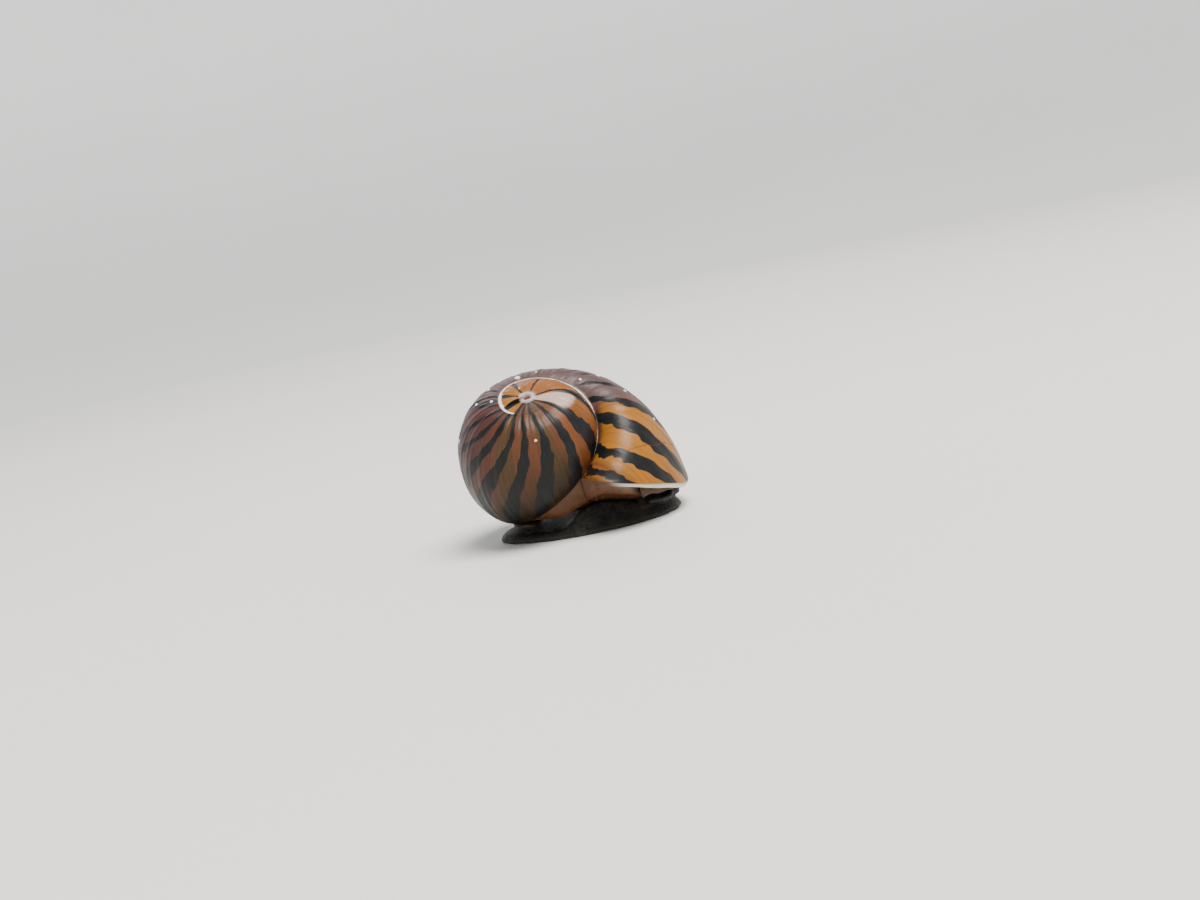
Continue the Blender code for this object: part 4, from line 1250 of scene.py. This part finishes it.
def makeStage():
    # rings from the edge to the middle of a round floor, whose edge sweeps up in a quarter ellipse
    shape = stageShape
    turn = np.arange(shape["around"]) * tau / shape["around"]
    sweep = np.linspace(tau / 4, 0, shape["sweepSteps"])
    flat = np.array(shape["middleRings"])[::-1]
    reach = np.concatenate([shape["flat"] + (shape["wall"] - shape["flat"]) * np.sin(sweep), flat])[:, None]
    level = np.concatenate([shape["height"] * (1 - np.cos(sweep)), 0 * flat])[:, None]
    rings = np.stack([reach * np.cos(turn), reach * np.sin(turn), level + 0 * turn], -1)
    index = ringIndex(np.arange(len(turn)), len(reach) - 1, len(turn))
    floor = makePiece("floor", withLast(rings, (0, 0, 0)) / mm, gridFaces(index)[:, ::-1])
    wiring, shader, place = newMaterial("floor_paint", floor, shape)
    clouded = wiring.range(wiring.noise(place, shape["cloudScale"], 3.0), *shape["clouded"])
    wiring.join(wiring.mix(clouded, shape["colour"], shape["cloud"]), shader.inputs["Base Color"])
    level = wiring.add("ShaderNodeVectorMath", operation="MULTIPLY")
    wiring.join(place, level.inputs[0])
    level.inputs[1].default_value = (1.0, 1.0, 0.0)
    away = wiring.add("ShaderNodeVectorMath", operation="LENGTH")
    wiring.join(level.outputs[0], away.inputs[0])
    glow = wiring.range(away.outputs["Value"], *shape["glowReach"])
    glow = wiring.math("ADD", glow, wiring.range(wiring.apart(place)[2], *shape["glowHeight"]))
    wiring.join(wiring.mix(glow, (0.0, 0.0, 0.0), (1.0, 1.0, 1.0)), shader.inputs["Emission Color"])


lamps = {  # place and size in metres, strength in watts, tint
    "key": ((0.30, -0.30, 0.95), 0.60, 27.0, (1.0, 0.97, 0.93)),
    "fill": ((-0.80, -0.75, 0.42), 0.90, 2.0, (0.93, 0.96, 1.0)),
    "rim": ((-0.20, 0.75, 0.70), 0.50, 2.5, (1.0, 1.0, 1.0)),
}
lampsAim = (0, 0, 0.007)
worldLight = {"colour": (0.82, 0.85, 0.90), "strength": 0.36}
cameraView = {  # metres, degrees and millimetres of lens. It rolls, because the snail stands level here.
    "place": (0.0023, -0.1285, 0.0250), "down": 8.0, "roll": 12.0, "lens": 39.48, "sensor": 36.0,
    "clip": (0.005, 20.0),
}  # fmt: skip


def makeLights():
    for name, (place, size, strength, tint) in lamps.items():
        light = bpy.data.lights.new(name, "AREA")
        light.size = size
        light.energy = strength
        light.color = tint
        lamp = bpy.data.objects.new(name, light)
        lamp.location = place
        lamp.rotation_euler = (Vector(lampsAim) - Vector(place)).to_track_quat("-Z", "Y").to_euler()
        bpy.context.scene.collection.objects.link(lamp)
    world = bpy.data.worlds.new("studio")
    world.use_nodes = True
    sky = world.node_tree.nodes["Background"]
    sky.inputs["Color"].default_value = (*worldLight["colour"], 1)
    sky.inputs["Strength"].default_value = worldLight["strength"]
    bpy.context.scene.world = world


def makeCamera():
    lens = bpy.data.cameras.new("camera")
    lens.sensor_fit = "HORIZONTAL"
    lens.sensor_width = cameraView["sensor"]
    lens.lens = cameraView["lens"]
    lens.clip_start, lens.clip_end = cameraView["clip"]
    camera = bpy.data.objects.new("camera", lens)
    bpy.context.scene.collection.objects.link(camera)
    tilted = Matrix.Rotation(radians(90 - cameraView["down"]), 4, "X")
    turned = tilted @ Matrix.Rotation(radians(-cameraView["roll"]), 4, "Z")
    turned.translation = cameraView["place"]
    camera.matrix_world = turned
    bpy.context.scene.camera = camera


makeStage()
makeLights()
makeCamera()
print("stage, lights and camera set")
